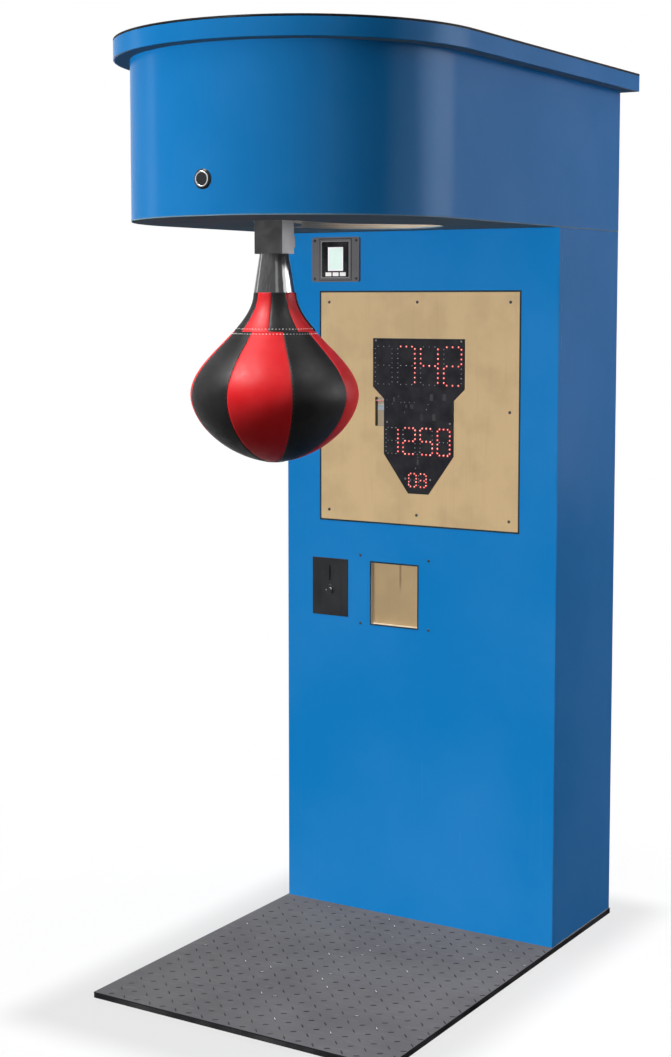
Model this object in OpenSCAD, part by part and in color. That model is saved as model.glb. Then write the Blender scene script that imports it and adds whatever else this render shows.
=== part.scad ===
// Boxing arcade machine with a swinging ball, built from boards on a tread-plate platform.
// Millimetres, +Z up. Origin: middle of the bounding box, on the floor. The player stands at -Y.
// Inside the modules y is counted from the cabinet's front face, and placed() moves it to the origin.

/* [Cabinet] */
// Width of the cabinet and of the head
cab_w = 720; // [700:1:760]
// Depth of the cabinet
cab_d = 327; // [300:1:360]
// Height of the cabinet's top, which is also the head's underside
cab_top = 1652; // [1620:1:1700]
// Thickness of the cabinet's boards
board_t = 15; // [12:0.5:18]
// Section of the corner battens
batten_w = 30; // [20:1:34]
// Height of the rails above and below the rear door
rail_h = 60; // [50:1:90]
// Gap round the rear door
door_gap = 3; // [2:0.5:5]

/* [Platform] */
// How far the platform stands out on each side of the cabinet
base_over = 3; // [0:1:50]
// Length of the platform in front of the cabinet
base_front = 759; // [650:1:860]
// Thickness of the platform's board
base_board_t = 10; // [8:0.5:24]
// Thickness of the tread sheet on it
tread_t = 3; // [2:0.5:5]

/* [Head] */
// How far the head's round nose reaches in front of the cabinet
head_reach = 842; // [800:1:900]
// Height of the head's wrap, with the sheet under it
head_h = 328; // [300:1:380]
// Thickness of the bent wrap
wrap_t = 12; // [8:0.5:16]
// Thickness of the head's plywood floor
floor_t = 21; // [18:0.5:24]
// Thickness of the black sheets under and over the head
sheet_t = 2.5; // [1.5:0.1:3]
// Thickness of the lid's board
lid_t = 38.5; // [25:0.5:50]
// How far the lid stands out all round
lid_over = 34; // [10:1:60]
// Thickness of the lid's edge band
band_t = 3; // [2:0.5:5]
// Diameter of the cable hole between cabinet and head
cable_hole_d = 60; // [30:1:80]

/* [Ball and arm] */
// How far the arm's pivot is in front of the cabinet
pivot_reach = 597; // [560:1:620]
// Height of the pivot above the head's underside
pivot_up = 13; // [12.5:0.5:18]
// Width of the arm
arm_w = 68; // [60:1:68]
// Depth of the arm
arm_d = 44; // [40:1:46]
// How far the arm hangs below the pivot
arm_drop = 80; // [74:1:90]
// Wall of the arm
arm_wall = 5; // [3:0.5:6]
// Diameter of the pivot shaft
shaft_d = 16; // [12:0.5:18]
// Radial clearance of the running fits
run_gap = 0.05; // [0.02:0.01:0.1]
// Diameter of the neck sleeve at the arm
sleeve_top_d = 59.6; // [50:0.2:62]
// Diameter of the neck sleeve at the ball
sleeve_low_d = 84.2; // [70:0.2:86]
// Length of the neck sleeve
sleeve_l = 78.4; // [60:0.2:90]
// Diameter of the ball
ball_d = 345; // [320:1:360]
// Height from the ball's neck down to its widest place
shoulder_h = 208.6; // [180:0.2:230]
// Height from the ball's widest place down to its lowest point
bowl_h = 138.3; // [120:0.1:160]
// Exponent of the bowl's curve, where 2 is a plain ellipse
bowl_power = 1.77; // [1.6:0.01:2]
// Thickness of the ball's leather
skin_t = 3; // [2:0.1:4]
// Wall of the bladder under the leather
bladder_t = 4; // [3:0.5:8]
// Height of the stitched ring below the ball's neck
seam_drop = 78.6; // [60:0.2:100]
// Number of panels round the ball
panel_count = 8; // [6:2:12]
// Room round the folded ball in the head's floor
fold_gap = 8; // [6:0.5:14]

/* [Hinge and latch] */
// Thickness of the hinge plates
plate_t = 6; // [4:0.5:7]
// Gap between the arm and each hinge plate
plate_gap = 2; // [1.5:0.5:3]
// Height of the stop bar's section
stop_bar_h = 30; // [20:1:30]
// Height of the latch pin above the pivot
latch_up = 95; // [93:1:98]
// Angle between the latch's open and caught positions
latch_angle = 16; // [14:0.5:18]
// Diameter of the latch pin and of the catch pin
pin_d = 8; // [6:0.5:8]

/* [Score panel] */
// Width of the plywood score panel
panel_w = 530; // [480:1:560]
// Height of the score panel
panel_h = 546.5; // [530:0.5:580]
// Distance from the cabinet's top down to the score panel
panel_drop = 141; // [130:0.5:160]
// Gap round the score panel
panel_gap = 2; // [1:0.5:4]
// Distance of the panel screws from its edges
panel_screw_in = 24; // [18:1:30]
// Distance from the panel's top edge down to the display board
display_drop = 108.5; // [95:0.5:125]
// Thickness of the display board
display_t = 4; // [2:0.5:6]
// Height of the lights on the display board
led_h = 2; // [1:0.1:3]

/* [Payment and controls] */
// Width of the card terminal's housing
term_w = 132; // [120:1:140]
// Height of the terminal's housing
term_h = 106; // [100:1:112]
// Depth of the terminal's housing
term_d = 6; // [5:1:12]
// Distance of the terminal's middle from the cabinet's middle line
term_off = 220; // [200:1:230]
// Distance from the cabinet's top down to the terminal's middle
term_drop = 64; // [60:1:68]
// Width of the coin plate
coin_plate_w = 99.5; // [90:0.5:110]
// Height of the coin plate
coin_plate_h = 140; // [120:1:150]
// Distance of the coin slot from the cabinet's middle line
coin_off = 237.5; // [230:0.5:245]
// Distance from the score panel down to the coin plate
coin_drop = 94.5; // [80:0.5:120]
// Width of the coin slot
coin_slot_w = 3.5; // [3:0.1:5]
// Width of the recess beside the coin plate
recess_w = 126; // [100:1:140]
// Height of the recess
recess_h = 147.5; // [120:0.5:160]
// Distance of the recess's middle from the cabinet's middle line
recess_off = 60; // [50:1:70]
// Distance from the score panel down to the recess
recess_drop = 97.5; // [80:0.5:120]
// Diameter of the start button's black bezel
start_bezel_d = 39; // [34:0.5:46]
// Height of the start button above the head's underside
start_up = 70.5; // [50:0.5:100]
// Travel of the start button
start_travel = 4; // [3:0.5:4]
// Diameter of the coin return button
return_d = 19; // [16:0.5:24]
// Travel of the coin return button
return_travel = 5; // [3:0.5:6]

/* [Hidden] */
$fn = 96;

// Colours, as the object has them
blue = [0.10, 0.47, 0.75];
black = [0.14, 0.14, 0.15];
dark_grey = [0.26, 0.26, 0.28];
grey = [0.42, 0.43, 0.44];
steel = [0.62, 0.64, 0.66];
bronze = [0.72, 0.55, 0.25];
plywood = [0.78, 0.67, 0.50];
red = [0.90, 0.15, 0.17];
rubber = [0.10, 0.10, 0.10];
green = [0.10, 0.38, 0.22];
mint = [0.88, 0.96, 0.93];

// Overall places; slack is how far a cut runs past the face that it starts from
slack = 1;
platform_top = base_board_t + tread_t;
base_w = cab_w + 2 * base_over;
head_low = cab_top + sheet_t;
head_top = cab_top + head_h;
head_floor_top = head_low + floor_t;
nose_y = -(head_reach - cab_w / 2);
lid_front = head_reach + lid_over;
lid_back = cab_d + lid_over;
front_y = (lid_front - lid_back) / 2;
inner_x = cab_w / 2 - board_t;
inner_y = cab_d - board_t;
inner_top = cab_top - board_t;
wrap_inner_x = cab_w / 2 - wrap_t;
cable_hole = [180, 180];

// Pivot, arm and ball
pivot_y = -pivot_reach;
pivot_z = cab_top + pivot_up;
arm_low = pivot_z - arm_drop;
arm_above = 18;
arm_front = pivot_y - arm_d / 2;
arm_back = pivot_y + arm_d / 2;
neck_z = arm_low - sleeve_l;
neck_r = sleeve_low_d / 2;
sleeve_wall = 3;
sleeve_cap = 6;
rod_r = 8;
rod_in = 60;
equator_z = neck_z - shoulder_h;
seam_z = neck_z - seam_drop;
seam_gap = 0.6;
tip_hole_r = 5;

// Heights of the points on the ball's shoulder, with one of them at the stitched ring
shoulder_zs = concat(
    [for (i = [0:9]) equator_z + (seam_z - equator_z) * i / 10],
    [for (i = [0:6]) seam_z + (neck_z - seam_z) * i / 6]
);

// Bushes and hub of the arm
bush_wall = 3;
bush_l = 16;
bush_flange = 1;
hub_wall = 3;
bush_r = shaft_d / 2 + bush_wall;

// Hinge plates, and the slot in the head's floor between them
plate_in_x = arm_w / 2 + plate_gap;
plate_out_x = plate_in_x + plate_t;
plate_fore = 43;
plate_aft = 92;
plate_over = 15;
plate_front = pivot_y - plate_fore;
plate_back = pivot_y + plate_aft;
foot_w = 60;
lug_up = 0.5;
slot_gap = 4;
slot_nose = 10;
slot_half = plate_out_x + slot_gap;
slot_nose_y = arm_front - slot_nose;

// Pin on the arm's ears, which stand behind the arm at rest and above it when the ball is folded
ear_out = 32;
ear_in = 43;
ear_low = 67;
ear_t = 6;
ear_x = 10;
catch_out = 45;
catch_down = 55;

// Latch, its solenoid, and the stop that the folded arm meets
latch_back = 41;
latch_y = pivot_y + latch_back;
latch_z = pivot_z + latch_up;
plate_top = latch_z + plate_over;
hook_half = 5;
hub_r = 9;
tail_up = 30;
tail_over = 8;
tail_slot = 3;
nose_gap = 1;
nose_h = 8;
nose_top = pivot_z + catch_out - pin_d / 2 - nose_gap;
spring_wire = 2;
spring_l = 12;
stop_gap = 1;
stop_up = 57;
stop_back = 16;
stop_face = pivot_z + arm_d / 2 + stop_gap;
stop_low = pivot_z + stop_up;
stop_top = stop_low + stop_bar_h;
stop_y = latch_y + stop_back;
stop_bar_d = 30;
bumper_w = 12;
bumper_d = 26;
plunger_z = latch_z + tail_up;
plunger_y = latch_y + tail_up * tan(latch_angle);
plunger_r = 6;
plunger_pin_r = 2.2;
fork_x = [hook_half + 1.5, 9];
solenoid_back = 31;
solenoid_y = latch_y + solenoid_back;
solenoid_h = 64;
solenoid_w = 34;
solenoid_l = 65;

// Fork sensor beside the arm
sensor_x = [plate_in_x - 24, plate_in_x - 11];
sensor_leg = 5;
sensor_half = 10;
sensor_low = pivot_z + 37;
sensor_top = pivot_z + arm_d / 2 + 35;
vane_x = plate_in_x - 16;
vane_t = 2;
vane_r = [12, 52];

// Score panel and its backing frame, which stops short of the corner battens
panel_top = cab_top - panel_drop;
panel_z = panel_top - panel_h;
backing_w = 70;
backing_t = 18;
backing_gap = 15;

// Display board: heights here are counted from its top edge
display_top = panel_top - display_drop;
display_outline = [
    [-117, 0], [126, 0], [126, -115.5], [98, -142.5], [98, -272],
    [32.5, -363.5], [-21, -363.5], [-87, -272.5], [-87, -142.5], [-117, -114.5]
];
display_screws = [
    [-108.7, -5.5], [118.6, -5.5], [-77.4, -196.5], [89.7, -195.5], [-27.6, -328.5], [38.7, -328.5]
];

// Each row: its digits, x of the first digit, pitch, width, top, bottom, lights up, lights across, size
led_rows = [
    [" 742", -110, 61.1, 45.6, -19, -107.5, 4, 3, 5],
    ["1250", -80.2, 45.9, 32.2, -209.5, -270.5, 3, 3, 5],
    ["03", -18.4, 26.4, 19.7, -316.1, -346.8, 2, 2, 4.6]
];
dark_led_share = 0.62;
digit_names = "0123456789 ";
digit_segments = [
    "abcdef", "bc", "abged", "abgcd", "fgbc", "afgcd", "afgedc", "abc", "abcdefg", "abcdfg", ""
];

// Pocket in the panel beside the display, with the display's plug and wire in it
pocket_x = [-113, -82];
pocket_drop = 138.5;
pocket_h = 69;
pocket_z = [display_top - pocket_drop - pocket_h, display_top - pocket_drop];
pocket_d = 12;
plug_drop = 163.5;
plug_x = [-107, -84];
plug_z = display_top - plug_drop;
plug_h = 12;
plug_t = 9;
wire_drop = 147.5;
wire_r = 1.5;
wire_y = 5;
wire_z = display_top - wire_drop;
wire_x = -85.5;

// Cable from the plug to the controller board: x, y, and height above the plug's middle
cable_d = 6;
cable_sides = 8;
cable_bore_r = 4.5;
cable_route = [
    [-94, 10, 0], [-94, 24, 0], [-91, 36, -5], [-81, 48, -18], [-64, 58, -32], [-40, 67, -44],
    [-10, 74, -51], [30, 80, -55], [75, 86, -56], [120, 93, -55], [165, 102, -52], [210, 113, -47],
    [250, 127, -42], [282, 140, -39], [304, 146, -39], [317, 146, -39]
];

// Card terminal
term_x = -term_off;
term_z = cab_top - term_drop;
term_screw_in = 8;
term_rim = [term_w - 45, term_h - 10];
term_rim_h = 1;
term_glass = [term_rim[0] - 11, term_rim[1] - 11.5];
term_glass_gap = 0.3;
term_glass_in = 0.5;
term_glass_back = 2 - term_d;
term_corners = [6, 4, 3];
print_t = 0.5;
term_picture = [-20.5, 21.5, -27, 29];
pad_step = 20;
pad_box = [-7.5, 9, -39.5, -30.5];

// Coin plate, mechanism, chute and cash box
coin_x = -coin_off;
coin_z = panel_z - coin_drop - coin_plate_h;
plate_proud = 3;
ridge_xs = [14 - coin_plate_w / 2, 22 - coin_plate_w / 2, coin_plate_w / 2 - 20];
ridge_in = 4;
ridge_w = 1.5;
ridge_h = 0.6;
slot_h = 38;
slot_in = 18;
slot_z = coin_z + coin_plate_h - slot_h - slot_in;
return_drop = 21.5;
return_z = slot_z - return_drop;
return_gap = 0.5;
return_collar = 3;
return_stem_r = 3;
return_stem_l = 20;
mech_w = 60;
mech_d = 110;
mech_edge = 14;
mech_low = coin_z + mech_edge;
mech_high = coin_z + coin_plate_h - mech_edge;
fall_y = [40, 76];
chute_w = 28;
chute_y = [36, 80];
sheet_wall = 1.5;
cash_w = 210;
cash_h = 267;
cash_y = [32, 240];
cash_gap = 2.5;
cash_x = -inner_x + batten_w + cash_gap;
cash_top = platform_top + cash_h;
chute_up = 20;
chute_low = cash_top + chute_up;
slit_drop = 4;

// Recess beside the coin plate
recess_x = -recess_off - recess_w / 2;
recess_z = panel_z - recess_drop - recess_h;
recess_board_t = 12;
recess_board_over = 44;
recess_board_low = 16;
recess_board_up = 30;
recess_screw_x = 30;
recess_screw_low = 1.3;
recess_screw_up = 15.7;

// Electronics on the cabinet's right side board and in the bottom rail
circuit_t = 1.6;
circuit_off = 20;
circuit_x = inner_x - circuit_off;
circuit_y = [90, 250];
circuit_h = 220;
circuit_low = 159;
circuit_z = [plug_z - circuit_low, plug_z - circuit_low + circuit_h];
circuit_post_in = 8;
post_r = 4;
chips = [[8, 135, 157, -49, -29], [4, 170, 205, -109, -74], [12, 215, 238, -9, 51]];
supply_z = 700;
supply_size = [50, 115, 200];
supply_y = 100;
supply_plug_h = 10;
inlet_x = 200;
inlet_up = 30;
inlet_z = platform_top + inlet_up;
inlet_w = 48;
inlet_h = 28;
inlet_in = 15;
inlet_flange = [60, 40, 2];
inlet_socket = [26, 16, 16];

// Start button
start_z = cab_top + start_up;
start_seat = 0.6;
bezel_h = 4.5;
bezel_slope = 2;
barrel_r = 14.8;
barrel_l = 44;
ring_w = 2.5;
ring_h = 1.5;
cap_r = 12.5;
cap_gap = 0.3;
cap_l = 14;
stem_r = 4;
bezel_face = -head_reach + start_seat;
ring_face = bezel_face - bezel_h;

// Rear door and its fittings
door_z0 = platform_top + rail_h + door_gap;
door_z1 = inner_top - rail_h - door_gap;
door_x = inner_x - door_gap;
leaf_t = 2;
leaf_w = 34;
knuckle_r = 5;
knuckle_h = 27;
knuckle_gap = 0.5;
hinge_pin_r = 2.5;
hinge_x = -inner_x + door_gap / 2;
hinge_y = cab_d + leaf_t + knuckle_r - 1.5;
hinge_in = 150;
lock_x = door_x - 38;
lock_z = (door_z0 + door_z1) / 2;
lock_r = 9;
lock_rim = 3;
lock_l = 32;
lock_y = cab_d - lock_l;
key_w = 1.6;
key_h = 10;
cam_l = 38;
cam_w = 14;
cam_t = 2.5;
cam_y = lock_y - cam_t - 0.2;
stop_batten = 16;

// Screws and bolts
shank_r = 1.8;
screw_head_r = 3.6;
screw_tip_r = 2.2;
screw_head_h = 1.4;
screw_short = 3;
bolt_r = 5;
bolt_head_d = 17;
bolt_head_h = 6.5;
head_bolt_in = 70;
panel_screw_x = panel_w / 2 - panel_screw_in;
panel_screws = [
    for (x = [-panel_screw_x, 0, panel_screw_x])
        for (z = [panel_z + panel_screw_in, panel_top - panel_screw_in]) [x, z],
    for (x = [-panel_screw_x, panel_screw_x]) [x, (panel_z + panel_top) / 2]
];
recess_screws = [
    for (x = [recess_x - recess_screw_x, recess_x + recess_w + recess_screw_x])
        for (z = [recess_z - recess_screw_low, recess_z + recess_h + recess_screw_up]) [x, z]
];
term_screws = [
    for (x = [-1, 1]) for (z = [-1, 1])
        [term_x + x * (term_w / 2 - term_screw_in), term_z + z * (term_h / 2 - term_screw_in)]
];
head_bolts = [
    for (x = [head_bolt_in - cab_w / 2, cab_w / 2 - head_bolt_in])
        for (y = [head_bolt_in, cab_d - head_bolt_in]) [x, y]
];
hinge_bolt_x = plate_out_x + foot_w / 2;
hinge_bolt_in = 21;
hinge_bolts = [
    for (x = [-hinge_bolt_x, hinge_bolt_x])
        for (y = [plate_front + hinge_bolt_in, plate_back - hinge_bolt_in]) [x, y]
];

// Helpers
module placed() {
    translate([0, front_y, 0]) children();
}

module box(x0, x1, y0, y1, z0, z1) {
    translate([x0, y0, z0]) cube([x1 - x0, y1 - y0, z1 - z0]);
}

module tall(z0, z1) {
    translate([0, 0, z0]) linear_extrude(z1 - z0) children();
}

// Draws a shape given in x and z, as seen from the front, from depth y0 back to depth y1
module facing(y0, y1) {
    translate([0, y1, 0]) rotate([90, 0, 0]) linear_extrude(y1 - y0) children();
}

module bar_x(y, z, r, x0, x1) {
    translate([x0, y, z]) rotate([0, 90, 0]) cylinder(r = r, h = x1 - x0);
}

module bar_y(x, z, r, y0, y1) {
    translate([x, y0, z]) rotate([-90, 0, 0]) cylinder(r = r, h = y1 - y0);
}

module both_sides() {
    children();
    mirror([1, 0, 0]) children();
}

// Plan of the head: straight sides and a half-round nose
module head_plan(grow, back) {
    half = cab_w / 2 + grow;
    translate([-half, nose_y]) square([2 * half, back - nose_y]);
    translate([0, nose_y]) circle(r = half);
}

module cable_way(z0, z1) {
    translate([cable_hole[0], cable_hole[1], z0 - slack]) cylinder(d = cable_hole_d, h = z1 - z0 + 2 * slack);
}

function reversed(list) = [for (i = [len(list) - 1:-1:0]) list[i]];

// Outline of the ball, as points of radius and height, drawn in by a given inset
function bowl_point(a, inset) = [
    (ball_d / 2 - inset) * pow(cos(a), 2 / bowl_power),
    equator_z - (bowl_h - inset) * pow(sin(a), 2 / bowl_power)
];
function shoulder_r(z) = neck_r + (ball_d / 2 - neck_r) * (1 + cos(180 * (z - equator_z) / shoulder_h)) / 2;
function shoulder_points(inset) = [for (z = shoulder_zs) [shoulder_r(z) - inset, z]];
function bowl_points(inset) = [for (a = [90:-7.5:7.5]) bowl_point(a, inset)];
function ball_curve(inset) = concat(bowl_points(inset), shoulder_points(inset));

// Outline of the hole that takes the folded arm and ball: its right half, from front to rear
function fold_y(z) = pivot_y + pivot_z - z;
function folded(curve) = [
    for (p = reversed(curve)) if (p[0] > slot_half || p[1] < equator_z) [p[0], fold_y(p[1])]
];
function fold_outline(grow) = let (half = folded(ball_curve(-grow))) concat(
    [[slot_half, slot_nose_y], [slot_half, half[0][1] - half[0][0] + slot_half]], half,
    [[0, fold_y(equator_z - bowl_h - grow)]]
);

module fold_hole() {
    right = fold_outline(fold_gap);
    count = len(right);
    polygon(concat(right, [for (i = [count - 2:-1:0]) [-right[i][0], right[i][1]]]));
}

// Platform
module base_board() {
    placed() color(black) box(-base_w / 2, base_w / 2, -base_front, cab_d, 0, base_board_t);
}

module tread_sheet() {
    placed() color(grey) box(-base_w / 2, base_w / 2, -base_front, cab_d, base_board_t, platform_top);
}

// Cabinet boards
module cabinet_side() {
    box(inner_x, cab_w / 2, board_t, cab_d, platform_top, cab_top);
}

module cabinet_left_side() {
    placed() color(blue) mirror([1, 0, 0]) cabinet_side();
}

module cabinet_right_side() {
    placed() color(blue) cabinet_side();
}

module panel_shape(grow) {
    translate([-panel_w / 2 - grow, panel_z - grow]) square([panel_w + 2 * grow, panel_h + 2 * grow]);
}

module mech_shape(grow) {
    translate([coin_x - mech_w / 2 - grow, mech_low - grow])
        square([mech_w + 2 * grow, mech_high - mech_low + 2 * grow]);
}

module cabinet_front() {
    placed() color(blue) difference() {
        box(-cab_w / 2, cab_w / 2, 0, board_t, platform_top, cab_top);
        facing(-slack, board_t + slack) {
            panel_shape(panel_gap);
            mech_shape(slack);
            translate([recess_x, recess_z]) square([recess_w, recess_h]);
        }
        screw_shanks(recess_screws, 0, board_t + recess_board_t);
        screw_shanks(term_screws, -term_d, board_t + term_d);
    }
}

module cabinet_top_board() {
    placed() color(plywood) difference() {
        box(-inner_x, inner_x, board_t, cab_d, inner_top, cab_top);
        cable_way(inner_top, cab_top);
        head_bolt_shanks();
    }
}

module corner_battens() {
    placed() color(plywood) both_sides()
        box(inner_x - batten_w, inner_x, board_t, board_t + batten_w, platform_top, inner_top);
}

// Rails above and below the rear door, and the battens that it closes against
module rear_frame() {
    batten_y = inner_y - slack;
    placed() color(blue) {
        difference() {
            box(-inner_x, inner_x, inner_y, cab_d, platform_top, platform_top + rail_h);
            inlet_block(inner_y - slack, cab_d + slack);
        }
        box(-inner_x, inner_x, inner_y, cab_d, inner_top - rail_h, inner_top);
        both_sides()
            box(inner_x - stop_batten, inner_x, batten_y - board_t, batten_y, platform_top, inner_top);
    }
}

// Rear door with its hinges and lock
module rear_door() {
    placed() color(blue) difference() {
        box(-door_x, door_x, inner_y, cab_d, door_z0, door_z1);
        bar_y(lock_x, lock_z, lock_r, inner_y - slack, cab_d + slack);
    }
}

module at_hinges() {
    for (z = [door_z0 + hinge_in, door_z1 - hinge_in]) translate([hinge_x, 0, z]) children();
}

module knuckle(z0, z1, r) {
    translate([0, hinge_y, z0]) cylinder(r = r, h = z1 - z0);
}

module door_hinge_fixed_leaves() {
    placed() color(steel) at_hinges() {
        difference() {
            union() {
                box(slack - cab_w / 2 - hinge_x, 0, cab_d, cab_d + leaf_t, 0, 3 * knuckle_h);
                knuckle(0, 3 * knuckle_h, knuckle_r);
            }
            box(-knuckle_r - slack, knuckle_r + slack, cab_d - slack, hinge_y + knuckle_r + slack,
                knuckle_h, 2 * knuckle_h);
        }
        knuckle(knuckle_h - slack, 2 * knuckle_h + slack, hinge_pin_r);
    }
}

module door_hinge_door_leaves() {
    low = knuckle_h + knuckle_gap;
    high = 2 * knuckle_h - knuckle_gap;
    placed() color(steel) at_hinges() difference() {
        union() {
            box(0, leaf_w, cab_d, cab_d + leaf_t, low, high);
            knuckle(low, high, knuckle_r);
        }
        knuckle(0, 3 * knuckle_h, hinge_pin_r + run_gap);
    }
}

module door_lock_barrel() {
    placed() color(steel) difference() {
        union() {
            bar_y(lock_x, lock_z, lock_r, lock_y, cab_d);
            bar_y(lock_x, lock_z, lock_r + lock_rim, cab_d, cab_d + lock_rim);
        }
        box(lock_x - key_w / 2, lock_x + key_w / 2, cab_d - lock_rim, cab_d + lock_rim + slack,
            lock_z - key_h / 2, lock_z + key_h / 2);
    }
}

module door_lock_cam() {
    placed() color(steel) {
        bar_y(lock_x, lock_z, lock_r - 1, cam_y, cam_y + cam_t);
        box(lock_x - cam_w / 2, lock_x + cam_w / 2, cam_y, cam_y + cam_t, lock_z, lock_z + cam_l);
    }
}

// Score panel, display and their screws
module panel_backing_frame() {
    low = panel_z - backing_w / 2;
    high = panel_top + backing_w / 4;
    open_half = panel_w / 2 - backing_w / 2;
    half = inner_x - batten_w - backing_gap;
    back = board_t + backing_t;
    placed() color(plywood) difference() {
        union() {
            both_sides() box(open_half, half, board_t, back, low, high);
            for (z = [low, high - backing_w])
                box(-open_half, open_half, board_t, back, z, z + backing_w);
        }
        screw_shanks(panel_screws, 0, back);
    }
}

module score_panel() {
    placed() color(plywood) difference() {
        facing(0, board_t) panel_shape(0);
        box(pocket_x[0], pocket_x[1], -slack, pocket_d, pocket_z[0], pocket_z[1]);
        bar_y(cable_route[0][0], plug_z, cable_bore_r, pocket_d - slack, board_t + slack);
        screw_shanks(panel_screws, 0, board_t + backing_t);
        display_screw_shanks();
    }
}

// A screw's shank stops short of the far face of what it holds
module screw_shanks(places, y, through) {
    for (p = places) bar_y(p[0], p[1], shank_r, y, y + through - screw_short);
}

module screws(places, y, through) {
    screw_shanks(places, y, through);
    for (p = places) translate([p[0], y, p[1]]) rotate([90, 0, 0])
        cylinder(r1 = screw_head_r, r2 = screw_tip_r, h = screw_head_h);
}

module display_screw_shanks() {
    translate([0, 0, display_top]) screw_shanks(display_screws, -display_t, display_t + board_t);
}

module front_screws() {
    placed() color(dark_grey) {
        screws(panel_screws, 0, board_t + backing_t);
        screws(recess_screws, 0, board_t + recess_board_t);
        screws(term_screws, -term_d, board_t + term_d);
        translate([0, 0, display_top]) screws(display_screws, -display_t, display_t + board_t);
    }
}

module display_board() {
    placed() color(black) difference() {
        facing(-display_t, 0) translate([0, display_top]) polygon(display_outline);
        display_screw_shanks();
    }
}

// Lights along one segment of one digit: evenly spread, with half a step left at both ends
function spread(from, to, n) = [for (i = [0:n - 1]) from + (to - from) * (i + 0.5) / n];
function upright(x, z0, z1, n) = [for (z = spread(z0, z1, n)) [x, z]];
function across(x0, x1, z, n) = [for (x = spread(x0, x1, n)) [x, z]];
function segment(row, x, name) = let (
    right = x + row[3], top = row[4], low = row[5], mid = (top + low) / 2
)
    name == "a" ? across(x, right, top, row[7]) :
    name == "g" ? across(x, right, mid, row[7]) :
    name == "d" ? across(x, right, low, row[7]) :
    name == "f" ? upright(x, top, mid, row[6]) :
    name == "b" ? upright(right, top, mid, row[6]) :
    name == "e" ? upright(x, mid, low, row[6]) :
    upright(right, mid, low, row[6]);
function is_lit(digit, name) = len(search(name, digit_segments[search(digit, digit_names)[0]])) > 0;
function led_places(lit) = [
    for (row = led_rows) for (i = [0:len(row[0]) - 1]) for (name = ["a", "b", "c", "d", "e", "f", "g"])
        if (is_lit(row[0][i], name) == lit)
            for (p = segment(row, row[1] + i * row[2], name)) [p[0], p[1], row[8]]
];

module leds(lit, share) {
    facing(-display_t - led_h, -display_t) translate([0, display_top])
        for (p = led_places(lit)) translate([p[0], p[1]]) circle(d = p[2] * share, $fn = 24);
}

module lit_leds() {
    placed() color(red) leds(true, 1);
}

module dark_leds() {
    placed() color(steel) leds(false, dark_led_share);
}

// A tube of flat sides along a list of points
function unit(v) = v / norm(v);
function path_dir(path, i) = unit(path[min(i + 1, len(path) - 1)] - path[max(i - 1, 0)]);
function ring(path, i, r, n) = let (
    t = path_dir(path, i), u = unit(cross(t, [0, 0, 1])), v = cross(u, t)
) [for (k = [0:n - 1]) path[i] + r * (cos(360 * k / n) * u + sin(360 * k / n) * v)];

module swept_tube(path, r, n) {
    last = (len(path) - 1) * n;
    points = [for (i = [0:len(path) - 1]) for (p = ring(path, i, r, n)) p];
    sides = [
        for (i = [0:len(path) - 2]) for (k = [0:n - 1])
            each let (a = i * n + k, b = i * n + (k + 1) % n) [[a, b, b + n], [a, b + n, a + n]]
    ];
    caps = [for (k = [1:n - 2]) each [[0, k + 1, k], [last, last + k, last + k + 1]]];
    polyhedron(points = points, faces = concat(sides, caps));
}

module display_cable() {
    placed() color(red) {
        box(plug_x[0], plug_x[1], pocket_d - plug_t, pocket_d, plug_z - plug_h / 2, plug_z + plug_h / 2);
        bar_x(wire_y, wire_z, wire_r, pocket_x[0], wire_x);
        translate([wire_x, wire_y, plug_z]) cylinder(r = wire_r, h = wire_z - plug_z + wire_r);
        translate([0, 0, plug_z]) swept_tube(cable_route, cable_d / 2, cable_sides);
    }
}

// Card terminal
module term_plate(size, y0, y1, corner) {
    w = size[0] - 2 * corner;
    h = size[1] - 2 * corner;
    facing(y0, y1) translate([term_x, term_z]) {
        square([size[0], h], center = true);
        square([w, size[1]], center = true);
        for (x = [-w / 2, w / 2]) for (z = [-h / 2, h / 2]) translate([x, z]) circle(r = corner);
    }
}

module terminal_housing() {
    front = -term_d - term_rim_h;
    placed() color(grey) difference() {
        union() {
            term_plate([term_w, term_h], -term_d, 0, term_corners[0]);
            term_plate(term_rim, front, -term_d, term_corners[1]);
        }
        term_plate(term_glass, front - slack, term_glass_back, term_corners[2]);
        screw_shanks(term_screws, -term_d, board_t + term_d);
    }
}

module terminal_face() {
    size = term_glass - 2 * [term_glass_gap, term_glass_gap];
    placed() color(black)
        term_plate(size, -term_d - term_rim_h + term_glass_in, term_glass_back, term_corners[2]);
}

// Thin printed field on the terminal's face, given by its corners from the terminal's middle
module term_print(x, field) {
    face = -term_d - term_rim_h + term_glass_in;
    box(term_x + x + field[0], term_x + x + field[1], face - print_t, face,
        term_z + field[2], term_z + field[3]);
}

module terminal_screen() {
    placed() color(mint) term_print(0, term_picture);
}

module terminal_pads() {
    placed() color("white") for (i = [-1, 0, 1]) term_print(i * pad_step, pad_box);
}

// Coin plate, its button, and what is behind it
module coin_plate() {
    front = -plate_proud;
    collar = return_d / 2 + return_collar;
    placed() color(black) difference() {
        union() {
            box(coin_x - coin_plate_w / 2, coin_x + coin_plate_w / 2, front, 0,
                coin_z, coin_z + coin_plate_h);
            for (x = ridge_xs)
                box(coin_x + x, coin_x + x + ridge_w, front - ridge_h, front,
                    coin_z + ridge_in, coin_z + coin_plate_h - ridge_in);
            bar_y(coin_x, return_z, collar, front - 2, front);
        }
        bar_y(coin_x, return_z, return_d / 2 + return_gap, front - 2 - slack, slack);
        coin_gate(front - slack, slack, slot_z);
    }
}

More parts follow.
